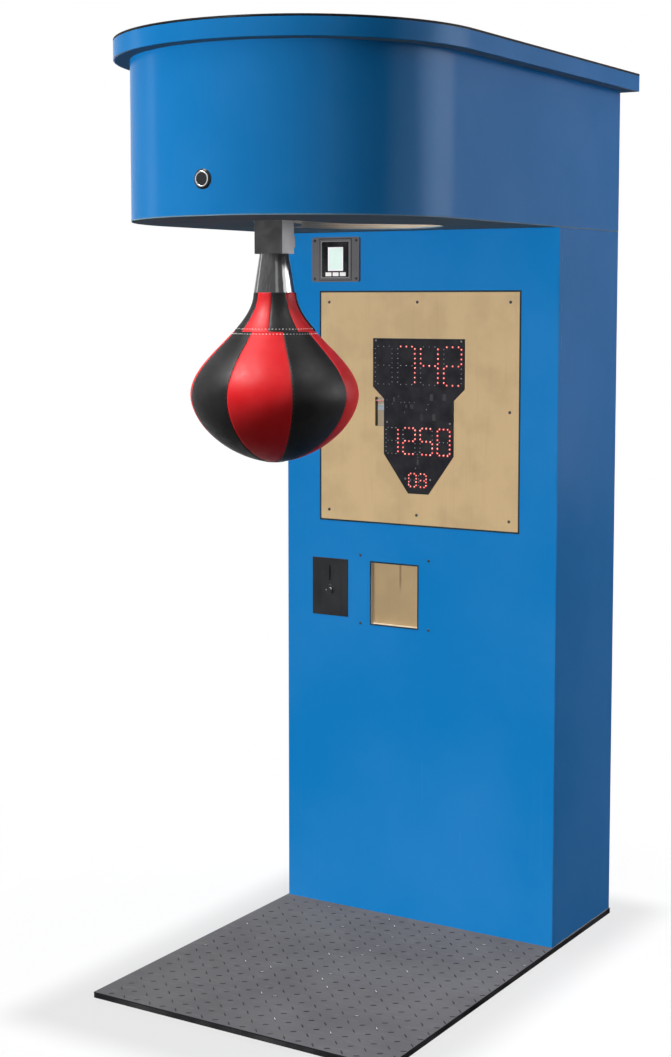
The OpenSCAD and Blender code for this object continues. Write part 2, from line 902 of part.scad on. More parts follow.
// Slit as wide as the coin slot, from a given height up to a little under the slot's top
module coin_gate(y0, y1, low) {
    box(coin_x - coin_slot_w / 2, coin_x + coin_slot_w / 2, y0, y1, low, slot_z + slot_h);
}

module coin_return_button() {
    placed() color(dark_grey) {
        bar_y(coin_x, return_z, return_d / 2, -plate_proud - 5.5, -1);
        bar_y(coin_x, return_z, return_stem_r, -1, return_stem_l);
    }
}

module coin_mech() {
    placed() color(dark_grey) difference() {
        facing(0, mech_d) mech_shape(0);
        bar_y(coin_x, return_z, return_d / 2 + 1, -slack, return_travel + slack);
        bar_y(coin_x, return_z, return_stem_r + cap_gap, -slack, return_stem_l + return_travel + slack);
        intersection() {
            union() {
                coin_gate(-slack, fall_y[1], slot_z);
                coin_gate(fall_y[0], fall_y[1], mech_low - slack);
            }
            facing(-slack, mech_d) translate([0, -slit_drop]) mech_shape(0);
        }
    }
}

module coin_chute() {
    half = chute_w / 2;
    placed() color(steel) difference() {
        box(coin_x - half, coin_x + half, chute_y[0], chute_y[1], chute_low, mech_low);
        box(coin_x - half + sheet_wall, coin_x + half - sheet_wall, chute_y[0] + sheet_wall,
            chute_y[1] - sheet_wall, chute_low - slack, mech_low + slack);
    }
}

module cash_box() {
    placed() color(grey) difference() {
        box(cash_x, cash_x + cash_w, cash_y[0], cash_y[1], platform_top, cash_top);
        box(cash_x + sheet_wall, cash_x + cash_w - sheet_wall, cash_y[0] + sheet_wall, cash_y[1] - sheet_wall,
            platform_top + sheet_wall, cash_top + slack);
    }
}

module recess_board() {
    placed() color(plywood) difference() {
        box(recess_x - recess_board_over, recess_x + recess_w + recess_board_over, board_t,
            board_t + recess_board_t, recess_z - recess_board_low, recess_z + recess_h + recess_board_up);
        screw_shanks(recess_screws, 0, board_t + recess_board_t);
    }
}

// Electronics
module controller_board() {
    posts_y = [circuit_y[0] + circuit_post_in, circuit_y[1] - circuit_post_in];
    posts_z = [circuit_z[0] + circuit_post_in, circuit_z[1] - circuit_post_in];
    placed() color(green) {
        box(circuit_x, circuit_x + circuit_t, circuit_y[0], circuit_y[1], circuit_z[0], circuit_z[1]);
        for (y = posts_y) for (z = posts_z) bar_x(y, z, post_r, circuit_x + circuit_t, inner_x);
        for (c = chips) box(circuit_x - c[0], circuit_x, c[1], c[2], plug_z + c[3], plug_z + c[4]);
    }
}

module power_supply() {
    placed() color(steel) {
        box(inner_x - supply_size[0], inner_x, supply_y, supply_y + supply_size[1], supply_z,
            supply_z + supply_size[2]);
        box(inner_x - supply_size[0] + 3, inner_x - 3, supply_y + 15, supply_y + supply_size[1] - 15,
            supply_z - supply_plug_h, supply_z);
    }
}

module inlet_block(y0, y1) {
    box(inlet_x - inlet_w / 2, inlet_x + inlet_w / 2, y0, y1, inlet_z - inlet_h / 2, inlet_z + inlet_h / 2);
}

module power_inlet() {
    flange = inlet_flange;
    socket = inlet_socket;
    placed() color(black) difference() {
        union() {
            inlet_block(inner_y - inlet_in, cab_d);
            box(inlet_x - flange[0] / 2, inlet_x + flange[0] / 2, cab_d, cab_d + flange[2],
                inlet_z - flange[1] / 2, inlet_z + flange[1] / 2);
        }
        box(inlet_x - socket[0] / 2, inlet_x + socket[0] / 2, cab_d - socket[2], cab_d + flange[2] + slack,
            inlet_z - socket[1] / 2, inlet_z + socket[1] / 2);
    }
}

// Head
module head_wrap() {
    placed() color(blue) difference() {
        tall(head_low, head_top) difference() {
            head_plan(0, cab_d);
            head_plan(-wrap_t, cab_d + slack);
        }
        bar_y(0, start_z, barrel_r, -head_reach - slack, -head_reach + 2 * wrap_t);
        bar_y(0, start_z, start_bezel_d / 2 + cap_gap, -head_reach - slack, bezel_face);
    }
}

module head_back_panel() {
    placed() color(blue) box(-wrap_inner_x, wrap_inner_x, inner_y, cab_d, head_low, head_top);
}

module head_floor_board() {
    placed() color(plywood) difference() {
        tall(head_low, head_floor_top) difference() {
            head_plan(-wrap_t, inner_y);
            fold_hole();
        }
        cable_way(head_low, head_floor_top);
        head_bolt_shanks();
        hinge_bolt_shanks();
    }
}

module head_bottom_sheet() {
    placed() color(black) difference() {
        tall(cab_top, head_low) difference() {
            head_plan(0, cab_d);
            fold_hole();
        }
        cable_way(cab_top, head_low);
        head_bolt_shanks();
    }
}

module lid_board() {
    placed() color(black) tall(head_top, head_top + lid_t) head_plan(lid_over - band_t, lid_back - band_t);
}

module lid_edge_band() {
    placed() color(blue) tall(head_top, head_top + lid_t) difference() {
        head_plan(lid_over, lid_back);
        head_plan(lid_over - band_t, lid_back - band_t);
    }
}

module lid_top_sheet() {
    placed() color(black) tall(head_top + lid_t, head_top + lid_t + sheet_t) head_plan(lid_over, lid_back);
}

// Battens that the lid is screwed to: at the nose's start, in the middle and at the back
module head_battens() {
    placed() color(plywood) for (y = [nose_y + batten_w, -batten_w, inner_y - batten_w])
        box(-wrap_inner_x, wrap_inner_x, y, y + batten_w, head_top - batten_w, head_top);
}

// Bolts through the head's floor: four down into the cabinet's top, four in the hinge plates' feet
module bolts(places, z0, z1) {
    for (p = places) translate([p[0], p[1], z0]) {
        cylinder(r = bolt_r, h = z1 - z0);
        translate([0, 0, z1 - z0]) cylinder(d = bolt_head_d, h = bolt_head_h, $fn = 6);
    }
}

module bolt_shanks(places, z0, z1) {
    for (p = places) translate([p[0], p[1], z0]) cylinder(r = bolt_r, h = z1 - z0);
}

module head_bolt_shanks() {
    bolt_shanks(head_bolts, inner_top, head_floor_top);
}

module hinge_bolt_shanks() {
    bolt_shanks(hinge_bolts, head_low, head_floor_top + plate_t);
}

module frame_bolts() {
    placed() color(steel) {
        bolts(head_bolts, inner_top, head_floor_top);
        bolts(hinge_bolts, head_low, head_floor_top + plate_t);
    }
}

// Hinge frame inside the head; each plate's round lug reaches down beside the slot to hold the shaft
module hinge_plate() {
    difference() {
        union() {
            box(plate_in_x, plate_out_x, plate_front, plate_back, head_floor_top, plate_top);
            box(plate_in_x, plate_out_x + foot_w, plate_front, plate_back,
                head_floor_top, head_floor_top + plate_t);
            box(plate_in_x, plate_out_x, pivot_y - shaft_d, pivot_y + shaft_d, pivot_z, head_floor_top);
            intersection() {
                bar_x(pivot_y, pivot_z, shaft_d, plate_in_x, plate_out_x);
                box(plate_in_x, plate_out_x, pivot_y - 2 * shaft_d, pivot_y + 2 * shaft_d,
                    cab_top + lug_up, pivot_z + shaft_d);
            }
        }
        bar_x(pivot_y, pivot_z, shaft_d / 2, 0, cab_w / 2);
        bar_x(latch_y, latch_z, pin_d / 2, 0, cab_w / 2);
        hinge_bolt_shanks();
    }
}

module hinge_plates() {
    placed() color(steel) both_sides() hinge_plate();
}

// The pivot shaft and the latch pin, both fixed in the hinge plates
module hinge_pins() {
    placed() color(steel) {
        bar_x(pivot_y, pivot_z, shaft_d / 2, -plate_out_x, plate_out_x);
        bar_x(latch_y, latch_z, pin_d / 2, -plate_out_x, plate_out_x);
    }
}

// Bar between the plates, with the shelf that carries the solenoid
module stop_bar() {
    placed() color(steel) {
        box(-plate_in_x, plate_in_x, stop_y, stop_y + stop_bar_d, stop_low, stop_top);
        box(-solenoid_w / 2, solenoid_w / 2, stop_y, solenoid_y + solenoid_l,
            stop_top, plunger_z - solenoid_h / 2);
    }
}

module rubber_bumpers() {
    placed() color(rubber) both_sides()
        box(arm_w / 2 - 2 - bumper_w, arm_w / 2 - 2, stop_y + 2, stop_y + 2 + bumper_d, stop_face, stop_low);
}

// Fork sensor that a vane on the arm passes through
module speed_sensor() {
    y0 = pivot_y - sensor_half;
    y1 = pivot_y + sensor_half;
    placed() color(black) {
        box(sensor_x[0], plate_in_x, y0, y1, sensor_top, sensor_top + 12);
        for (x = sensor_x) box(x, x + sensor_leg, y0, y1, sensor_low, sensor_top);
    }
}

// Latch, drawn open: it turns to catch the pin behind the arm once the ball is up
module latch_hook() {
    shank = [-6, 4];
    nose_y1 = pivot_y + catch_down + 6 - latch_y;
    nose = [nose_top - nose_h - latch_z, nose_top - latch_z];
    placed() color(steel) translate([0, latch_y, latch_z]) rotate([-latch_angle, 0, 0]) difference() {
        union() {
            bar_x(0, 0, hub_r, -hook_half, hook_half);
            box(-hook_half, hook_half, shank[0], shank[1], nose[0], 0);
            box(-hook_half, hook_half, shank[0], nose_y1, nose[0], nose[1]);
            box(-hook_half, hook_half, 2 - hub_r, hub_r - 2, 0, tail_up + tail_over);
        }
        bar_x(0, 0, pin_d / 2 + run_gap, -hook_half - slack, hook_half + slack);
        box(-hook_half - slack, hook_half + slack, -tail_slot, tail_slot,
            tail_up - 2 * tail_slot, tail_up + tail_over + slack);
    }
}

// Return spring wound on the latch pin, as its outer shape, with the leg that rests on the stop bar
module latch_spring() {
    x0 = hook_half + 1;
    x1 = x0 + spring_l;
    coil_r = pin_d / 2 + spring_wire;
    placed() color(steel) difference() {
        union() {
            bar_x(latch_y, latch_z, coil_r, x0, x1);
            box(x1 - spring_wire, x1, latch_y, stop_y, latch_z - coil_r, latch_z - coil_r + spring_wire);
        }
        bar_x(latch_y, latch_z, pin_d / 2 + run_gap, x0 - slack, x1 + slack);
    }
}

module latch_solenoid() {
    end = solenoid_y + solenoid_l;
    placed() color(dark_grey) difference() {
        box(-solenoid_w / 2, solenoid_w / 2, solenoid_y, end,
            plunger_z - solenoid_h / 2, plunger_z + solenoid_h / 2);
        bar_y(0, plunger_z, plunger_r + run_gap, solenoid_y - slack, end - 8);
    }
}

module latch_plunger() {
    fork_y = solenoid_y - 2;
    low = plunger_z - plunger_r;
    high = plunger_z + plunger_r;
    placed() color(steel) {
        bar_y(0, plunger_z, plunger_r, fork_y, solenoid_y + solenoid_l - 12);
        box(-fork_x[1], fork_x[1], fork_y - 5, fork_y, low, high);
        both_sides() box(fork_x[0], fork_x[1], plunger_y - 5, fork_y - 4, low, high);
        bar_x(plunger_y, plunger_z, plunger_pin_r, -fork_x[1], fork_x[1]);
    }
}

// Arm that the ball hangs from: a box tube, the hub, and the ears with the pin that the latch catches
module arm_tube() {
    half = arm_w / 2;
    top = pivot_z + arm_above;
    placed() color(dark_grey) difference() {
        union() {
            difference() {
                box(-half, half, arm_front, arm_back, arm_low, top);
                box(arm_wall - half, half - arm_wall, arm_front + arm_wall, arm_back - arm_wall,
                    arm_low + arm_wall, top + slack);
            }
            bar_x(pivot_y, pivot_z, bush_r + hub_wall, -half, half);
            both_sides()
                box(ear_x, ear_x + ear_t, arm_back, arm_back + ear_out, pivot_z - ear_low, pivot_z - ear_in);
            bar_x(pivot_y + catch_out, pivot_z - catch_down, pin_d / 2, -ear_x - ear_t, ear_x + ear_t);
            sensor_vane();
        }
        bar_x(pivot_y, pivot_z, bush_r, -arm_w, arm_w);
    }
}

// Thin plate on the arm that cuts the fork sensor's beam
module sensor_vane() {
    angles = [35:5:60];
    translate([vane_x, pivot_y, pivot_z]) rotate([90, 0, 90]) linear_extrude(vane_t) polygon(concat(
        [for (a = angles) vane_r[1] * [cos(a), sin(a)]],
        reversed([for (a = angles) vane_r[0] * [cos(a), sin(a)]])
    ));
}

module arm_bushes() {
    placed() color(bronze) both_sides() difference() {
        union() {
            bar_x(pivot_y, pivot_z, bush_r, arm_w / 2 - bush_l, arm_w / 2);
            bar_x(pivot_y, pivot_z, bush_r + bush_flange, arm_w / 2, arm_w / 2 + bush_flange);
        }
        bar_x(pivot_y, pivot_z, shaft_d / 2 + run_gap, 0, arm_w);
    }
}

// Tapered sleeve below the arm, with the rod that runs down into the ball
module neck_sleeve() {
    top_r = sleeve_top_d / 2;
    cap_z = arm_low - sleeve_cap;
    placed() color(steel) translate([0, pivot_y, 0]) rotate_extrude() polygon([
        [0, arm_low], [top_r, arm_low], [neck_r, neck_z], [neck_r - sleeve_wall, neck_z],
        [top_r - sleeve_wall, cap_z], [rod_r, cap_z], [rod_r, neck_z - rod_in], [0, neck_z - rod_in]
    ]);
}

// Ball: a bladder with a solid neck round the rod, and leather panels in two colours on it
module ball_bladder() {
    solid_z = neck_z - rod_in - 30;
    rod_z = neck_z - rod_in - slack;
    placed() color(rubber) translate([0, pivot_y, 0]) rotate_extrude() difference() {
        polygon(concat(ball_curve(skin_t), [[rod_r, neck_z], [rod_r, rod_z], [0, rod_z]]));
        polygon(concat([for (p = ball_curve(skin_t + bladder_t)) if (p[1] < solid_z) p], [[0, solid_z]]));
    }
}

// Outline of the leather at the neck and of the gores below the stitched ring, from low to high
function neck_points(inset) = let (
    low = seam_z + seam_gap / 2, high = neck_z - 0.1,
    between = [for (p = shoulder_points(inset)) if (p[1] > low + slack && p[1] < high - slack) p]
) concat([[shoulder_r(low) - inset, low]], between, [[shoulder_r(high) - inset, high]]);

function gore_points(inset) = let (
    high = seam_z - seam_gap / 2,
    below = [for (p = ball_curve(inset)) if (p[0] > tip_hole_r && p[1] < high - slack) p]
) concat(below, [[shoulder_r(high) - inset, high]]);

module leather(outer, inner, start) {
    rotate([0, 0, start - 90]) rotate_extrude(angle = 360 / panel_count)
        polygon(concat(outer, reversed(inner)));
}

module leather_set(first) {
    step = 720 / panel_count;
    translate([0, pivot_y, 0]) for (i = [0:panel_count / 2 - 1]) {
        leather(gore_points(0), gore_points(skin_t), first + i * step);
        leather(neck_points(0), neck_points(skin_t), first + (i + 0.25) * step);
    }
}

module ball_red_panels() {
    placed() color(red) leather_set(0);
}

module ball_black_panels() {
    placed() color(black) leather_set(360 / panel_count);
}

// Start button on the head's nose
module start_button_bezel() {
    flat_y = ring_face + bezel_slope;
    placed() color(black) difference() {
        union() {
            bar_y(0, start_z, start_bezel_d / 2, flat_y, bezel_face);
            translate([0, flat_y, start_z]) rotate([90, 0, 0])
                cylinder(d1 = start_bezel_d, d2 = start_bezel_d - 5, h = bezel_slope);
            bar_y(0, start_z, barrel_r, bezel_face, bezel_face + barrel_l);
        }
        bar_y(0, start_z, cap_r + cap_gap, ring_face - slack, bezel_face + barrel_l - 4);
    }
}

module start_button_ring() {
    placed() color(steel) difference() {
        bar_y(0, start_z, cap_r + ring_w, ring_face - ring_h, ring_face);
        bar_y(0, start_z, cap_r + cap_gap, ring_face - ring_h - slack, ring_face + slack);
    }
}

module start_button_cap() {
    stem_end = bezel_face + barrel_l - 4 - start_travel - slack;
    placed() color(dark_grey) {
        bar_y(0, start_z, cap_r, ring_face - ring_h, ring_face + cap_l);
        bar_y(0, start_z, stem_r, ring_face + cap_l, stem_end);
    }
}

base_board();
tread_sheet();
cabinet_left_side();
cabinet_right_side();
cabinet_front();
cabinet_top_board();
corner_battens();
rear_frame();
rear_door();
door_hinge_fixed_leaves();
door_hinge_door_leaves();
door_lock_barrel();
door_lock_cam();
panel_backing_frame();
score_panel();
front_screws();
display_board();
lit_leds();
dark_leds();
display_cable();
terminal_housing();
terminal_face();
terminal_screen();
terminal_pads();
coin_plate();
coin_return_button();
coin_mech();
coin_chute();
cash_box();
recess_board();
controller_board();
power_supply();
power_inlet();
head_wrap();
head_back_panel();
head_floor_board();
head_bottom_sheet();
lid_board();
lid_edge_band();
lid_top_sheet();
head_battens();
frame_bolts();
hinge_plates();
hinge_pins();
stop_bar();
rubber_bumpers();
speed_sensor();
latch_hook();
latch_spring();
latch_solenoid();
latch_plunger();
arm_tube();
arm_bushes();
neck_sleeve();
ball_bladder();
ball_red_panels();
ball_black_panels();
start_button_bezel();
start_button_ring();
start_button_cap();
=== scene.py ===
from functools import cache
from math import cos, exp, pi, radians, sin
import random

import bmesh
import bpy
from bpy.props import FloatProperty, FloatVectorProperty, IntProperty, PointerProperty
from mathutils import Matrix, Vector, noise


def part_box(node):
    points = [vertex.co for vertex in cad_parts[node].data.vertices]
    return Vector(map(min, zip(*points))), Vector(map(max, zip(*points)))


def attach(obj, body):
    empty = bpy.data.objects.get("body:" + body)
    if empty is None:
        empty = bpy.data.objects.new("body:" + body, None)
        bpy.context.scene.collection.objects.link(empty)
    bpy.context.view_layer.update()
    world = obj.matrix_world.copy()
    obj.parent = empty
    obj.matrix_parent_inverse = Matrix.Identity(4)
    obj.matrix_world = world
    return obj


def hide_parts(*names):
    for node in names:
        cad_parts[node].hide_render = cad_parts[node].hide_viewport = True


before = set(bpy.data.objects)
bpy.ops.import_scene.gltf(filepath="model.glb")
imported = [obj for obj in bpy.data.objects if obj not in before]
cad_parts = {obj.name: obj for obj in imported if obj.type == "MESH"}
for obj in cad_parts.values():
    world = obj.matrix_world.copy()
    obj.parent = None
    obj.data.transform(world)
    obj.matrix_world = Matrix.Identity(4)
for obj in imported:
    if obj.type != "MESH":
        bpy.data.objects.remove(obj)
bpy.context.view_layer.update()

bl_info = {
    "name": "Boxing machine finishes",
    "version": (1, 0, 0),
    "blender": (4, 5, 0),
    "location": "3D View > Sidebar > Boxing machine",
    "description": "Finishes and modelled pieces of a boxing machine around its packed parts",
    "category": "Object",
}

# Metres, +Z up, floor at z = 0. The player stands at -Y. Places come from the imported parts' own boxes.
MM = 0.001
FRONT_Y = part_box("cabinet_front")[0].y


def srgb(red, green, blue):
    """A colour given as a screen shows it, 0 to 255, in the linear values that shaders use."""
    def linear(value):
        share = value / 255
        return share / 12.92 if share <= 0.04045 else ((share + 0.055) / 1.055) ** 2.4
    return linear(red), linear(green), linear(blue)


def lighter(value, amount):
    """The colour moved towards white, or towards black when amount is negative."""
    goal = 1.0 if amount > 0 else 0.0
    return tuple(c + (goal - c) * abs(amount) for c in value)


# Properties that a user may change, by kind.

def colour(label, about, *value):
    return FloatVectorProperty(
        name=label, description=about, default=srgb(*value), subtype="COLOR", min=0.0, max=1.0)


def number(label, about, value, **kind):
    return FloatProperty(name=label, description=about, default=value, **kind)


def length(label, about, millimetres):
    return number(label, about, millimetres * MM, subtype="DISTANCE", unit="LENGTH", min=0.0)


def angle(label, about, degrees):
    return number(label, about, radians(degrees), subtype="ANGLE", unit="ROTATION")


def share(label, about, value):
    return number(label, about, value, subtype="FACTOR", min=0.0, max=1.0)


class MachineColours(bpy.types.PropertyGroup):
    """Colours of the machine's materials."""

    blue: colour("Blue board", "Laminate of the cabinet and the head", 18, 121, 190)
    plywood: colour("Plywood", "Score panel, recess and inner boards", 198, 171, 128)
    # Painted light: the black sheets under the head and under the lid get this pale grey-blue instead of
    # their own black, so that their shaded undersides show lighter.
    ply_dark: colour("Plywood grain", "Darker grain and glue lines of the plywood", 160, 126, 88)
    laminate: colour("Black sheets", "Sheets over and under the head", 113, 139, 153)
    tread: colour("Tread sheet", "Tread sheet of the platform", 90, 89, 91)
    edge: colour("Platform edge", "Edge of the platform's board", 32, 32, 34)
    red_leather: colour("Red leather", "Red panels of the ball", 228, 32, 38)
    black_leather: colour("Black leather", "Black panels of the ball", 27, 27, 28)
    thread: colour("Thread", "Thread of the stitched ring", 236, 234, 228)
    steel: colour("Steel", "Bare steel of the hinge frame", 128, 130, 134)
    sleeve: colour("Neck sleeve", "Blackened steel of the neck sleeve", 62, 63, 64)
    arm: colour("Arm paint", "Paint of the arm", 32, 32, 33)
    unlit: colour("Unlit light", "Figures' lights that are off", 196, 202, 214)
    circuit: colour("Display board", "Black circuit board of the display", 32, 32, 37)
    housing: colour("Terminal", "Housing of the card terminal", 96, 95, 97)
    screen: colour("Screen", "Screen of the card terminal", 226, 246, 238)


class BallSizes(bpy.types.PropertyGroup):
    """How the leather ball is sewn."""

    crown: length("Crown", "How far a panel's middle swells over its seams", 0.6)
    seam_depth: length("Seam depth", "Depth of the seams between the panels", 0.8)
    seam_width: length("Seam width", "Width over which the leather turns into a seam", 1.8)
    stitch_pitch: length("Stitch pitch", "Distance from one stitch to the next", 7.0)
    stitch_length: length("Stitch length", "Length of one stitch", 3.9)
    thread_radius: length("Thread radius", "Radius of the thread", 0.8)
    ring_half: length("Half of the ring", "Distance of the ring's stitch lines from its seam", 5.0)
    ring_height: length("Ring height", "Height of the ring's seam over the floor", 1428.0)
    equator: length("Equator", "Height of the ball's widest place over the floor", 1298.0)
    skin: length("Leather", "Thickness of the leather", 3.0)
    turn: angle("Turn", "How far the lower panels are turned right; the upper ones four times as far", 0.6)
    bowl_power: number("Bowl", "2 is a round bowl, less is more pointed", 1.77)


class TreadSizes(bpy.types.PropertyGroup):
    """Raised bars of the tread sheet."""

    pitch: length("Pitch", "Distance between neighbouring bars", 34.0)
    bar_length: length("Bar length", "Length of a raised bar", 18.0)
    slant: angle("Slant", "Angle of the bars that lie along the player's left to right", 33.0)
    cross_slant: angle("Other slant", "Angle of the bars that lie the other way", -47.0)
    slant_share: share("Shorter bars", "Length of the bars at the first slant, as a share of the rest", 0.72)
    bar_width: length("Bar width", "Width of a raised bar", 2.7)
    bar_height: length("Bar height", "Height of a raised bar", 1.0)
    # The bright bars carry a painted glint on their tops, which also stands for worn spots.
    bright: share("Bright bars", "Share of the bars that are worn bright", 0.07)


class BoardSizes(bpy.types.PropertyGroup):
    """Edges and wear of the boards."""

    rounding: length("Edge rounding", "Radius of the boards' edges", 0.8)
    scratches: share("Scratches", "How strongly fine scratches show on the laminate", 0.012)
    plies: IntProperty(
        name="Plies", description="Number of layers in a plywood board", default=9, min=3, max=15)


class StudioSettings(bpy.types.PropertyGroup):
    """Camera and lights."""

    camera_place: FloatVectorProperty(
        name="Camera", description="Place of the camera", default=(2.06075, -3.42194, 1.48881),
        subtype="TRANSLATION", unit="LENGTH")
    camera_down: angle("Camera tilt", "How far the camera looks down", 5.1534)
    camera_turn: angle("Camera turn", "How far the camera is turned to the left", 31.8346)
    lens: number("Lens", "Focal length in millimetres", 61.52, min=1.0)
    shift: number("Shift", "Vertical shift of the lens", -0.0608)
    key: number("Key light", "Irradiance of the key light", 4.5, min=0.0)
    side: number("Side light", "Power of the light behind and right", 105.0, min=0.0)
    far: length("Distance", "Distance of the upright lights", 5500.0)
    gloss: number("Highlights", "Irradiance that only highlights show", 25.0, min=0.0)
    ambient: number("Ambient", "Strength of the light from all round", 0.35, min=0.0)


class MachineSettings(bpy.types.PropertyGroup):
    """All settings of the boxing machine."""

    colours: PointerProperty(type=MachineColours)
    ball: PointerProperty(type=BallSizes)
    tread: PointerProperty(type=TreadSizes)
    boards: PointerProperty(type=BoardSizes)
    studio: PointerProperty(type=StudioSettings)


def settings():
    return bpy.context.scene.boxing_machine


def tint(name):
    """One of the machine's colours, by its name in the settings."""
    return getattr(settings().colours, name)


class Finish:
    """One material, built from shader nodes with short calls."""

    def __init__(self, name, **values):
        self.material = bpy.data.materials.new(name)
        self.material.use_nodes = True
        self.nodes = self.material.node_tree.nodes
        self.links = self.material.node_tree.links
        self.shader = self.nodes["Principled BSDF"]
        self.place = self.add("TexCoord").outputs["Object"]
        self.set(**values)

    def add(self, kind, inputs=None, **properties):
        """Adds a node, sets its properties, and sets or links its inputs."""
        node = self.nodes.new("ShaderNode" + kind)
        for name, value in properties.items():
            setattr(node, name, value)
        for key, value in (inputs or {}).items():
            self.feed(node.inputs[key], value)
        return node

    def feed(self, socket, value):
        if isinstance(value, bpy.types.NodeSocket):
            self.links.new(value, socket)
        elif socket.type == "RGBA" and len(value) == 3:
            socket.default_value = (*value, 1.0)
        else:
            socket.default_value = value

    def set(self, **values):
        """Sets or links the shader's sockets, whose names are given with underscores for spaces."""
        for name, value in values.items():
            label = " ".join("IOR" if w == "ior" else w.capitalize() for w in name.split("_"))
            self.feed(self.shader.inputs[label], value)

    def math(self, operation, first, second=0.0):
        return self.add("Math", {0: first, 1: second}, operation=operation).outputs[0]

    def times(self, first, second):
        return self.math("MULTIPLY", first, second)

    def off(self, value, middle):
        """How far a value is from a middle."""
        return self.math("ABSOLUTE", self.math("SUBTRACT", value, middle))

    def stretch(self, scale, turn=(0, 0, 0)):
        """The object's own coordinates, scaled along each axis."""
        return self.add("Mapping", {"Vector": self.place, "Scale": scale, "Rotation": turn}).outputs["Vector"]

    def noise(self, scale, detail=3.0, rough=0.5, place=None, distortion=0.0):
        return self.add("TexNoise", {
            "Vector": place or self.place, "Scale": scale, "Detail": detail, "Roughness": rough,
            "Distortion": distortion}).outputs["Fac"]

    def range(self, value, low, high, out_low=0.0, out_high=1.0):
        """Maps a value from one range to another, smoothly and without going past it."""
        return self.add("MapRange", {
            "Value": value, "From Min": low, "From Max": high, "To Min": out_low, "To Max": out_high},
            interpolation_type="SMOOTHSTEP").outputs["Result"]

    def mix(self, factor, first, second):
        return self.add("Mix", {0: factor, 6: first, 7: second}, data_type="RGBA").outputs[2]

    def shades(self, value, low, high, base, first, second):
        """A colour made lighter or darker by a first and a second amount at the ends of a value's range."""
        return self.mix(self.range(value, low, high), lighter(base, first), lighter(base, second))

    def split(self, place=None):
        return self.add("SeparateXYZ", {0: place or self.place}).outputs

    def normal(self):
        return self.add("NewGeometry").outputs["True Normal"]

    def bump(self, height, strength, distance):
        relief = self.add("Bump", {"Height": height, "Strength": strength, "Distance": distance})
        self.set(normal=relief.outputs["Normal"])


def seen_rays(nodes, links):
    """1 on the rays of the camera and on those that gloss or clear things send on, and 0 on the rest."""
    path = nodes.new("ShaderNodeLightPath").outputs
    result = path["Is Camera Ray"]
    for ray in ("Is Glossy Ray", "Is Transmission Ray"):
        either = nodes.new("ShaderNodeMath")
        either.operation = "MAXIMUM"
        links.new(result, either.inputs[0])
        links.new(path[ray], either.inputs[1])
        result = either.outputs[0]
    return result


def blue_laminate(name="blue_laminate", bare=None, dark_from=None):
    """Blue laminate: even, with soft clouds, fine upright scratches and a slight orange peel.

    A board may be bare on the side that faces along a given direction, the inside of the machine, and black
    above a height, where the sheet over it laps over its edge.
    """
    base = tint("blue")
    finish = Finish(name, specular_ior_level=0.012)
    tone = finish.shades(finish.noise(2.5, 4.0, 0.55), 0.3, 0.7, base, -0.05, 0.012)
    lines = finish.noise(1.0, 2.0, 0.6, finish.stretch((160.0, 160.0, 1.6)))
    sparse = finish.noise(1.0, 1.0, 0.5, finish.stretch((3.0, 3.0, 0.7)))
    hits = finish.times(finish.range(lines, 0.66, 0.72), finish.range(sparse, 0.5, 0.62))
    hits = finish.times(hits, settings().boards.scratches)
    tone = finish.mix(hits, tone, lighter(base, 0.5))
    if bare:
        towards = finish.add("VectorMath", {0: finish.normal(), 1: bare}, operation="DOT_PRODUCT")
        inside = finish.math("GREATER_THAN", towards.outputs["Value"], 0.5)
        fibres = finish.noise(1.0, 5.0, 0.6, finish.stretch((40.0, 40.0, 2.2)))
        birch = finish.shades(fibres, 0.4, 0.7, tint("plywood"), 0.0, -0.14)
        tone = finish.mix(inside, tone, birch)
    if dark_from:
        tone = finish.mix(finish.math("GREATER_THAN", finish.split()[2], dark_from), tone, srgb(24, 26, 30))
    smudges = finish.range(finish.noise(7.0, 5.0, 0.6), 0.35, 0.7, 0.2, 0.26)
    finish.set(base_color=tone, roughness=finish.math("ADD", smudges, finish.times(hits, 0.8)))
    finish.bump(finish.noise(900.0, 2.0), 0.04, 0.2 * MM)
    return finish.material


def blue_edge():
    """The boards' rounded edges, where the laminate is rubbed lighter in places."""
    finish = Finish("blue_edge", specular_ior_level=0.015, roughness=0.3)
    finish.set(base_color=finish.shades(finish.noise(28.0, 5.0, 0.65), 0.52, 0.75, tint("blue"), -0.18, 0.22))
    return finish.material


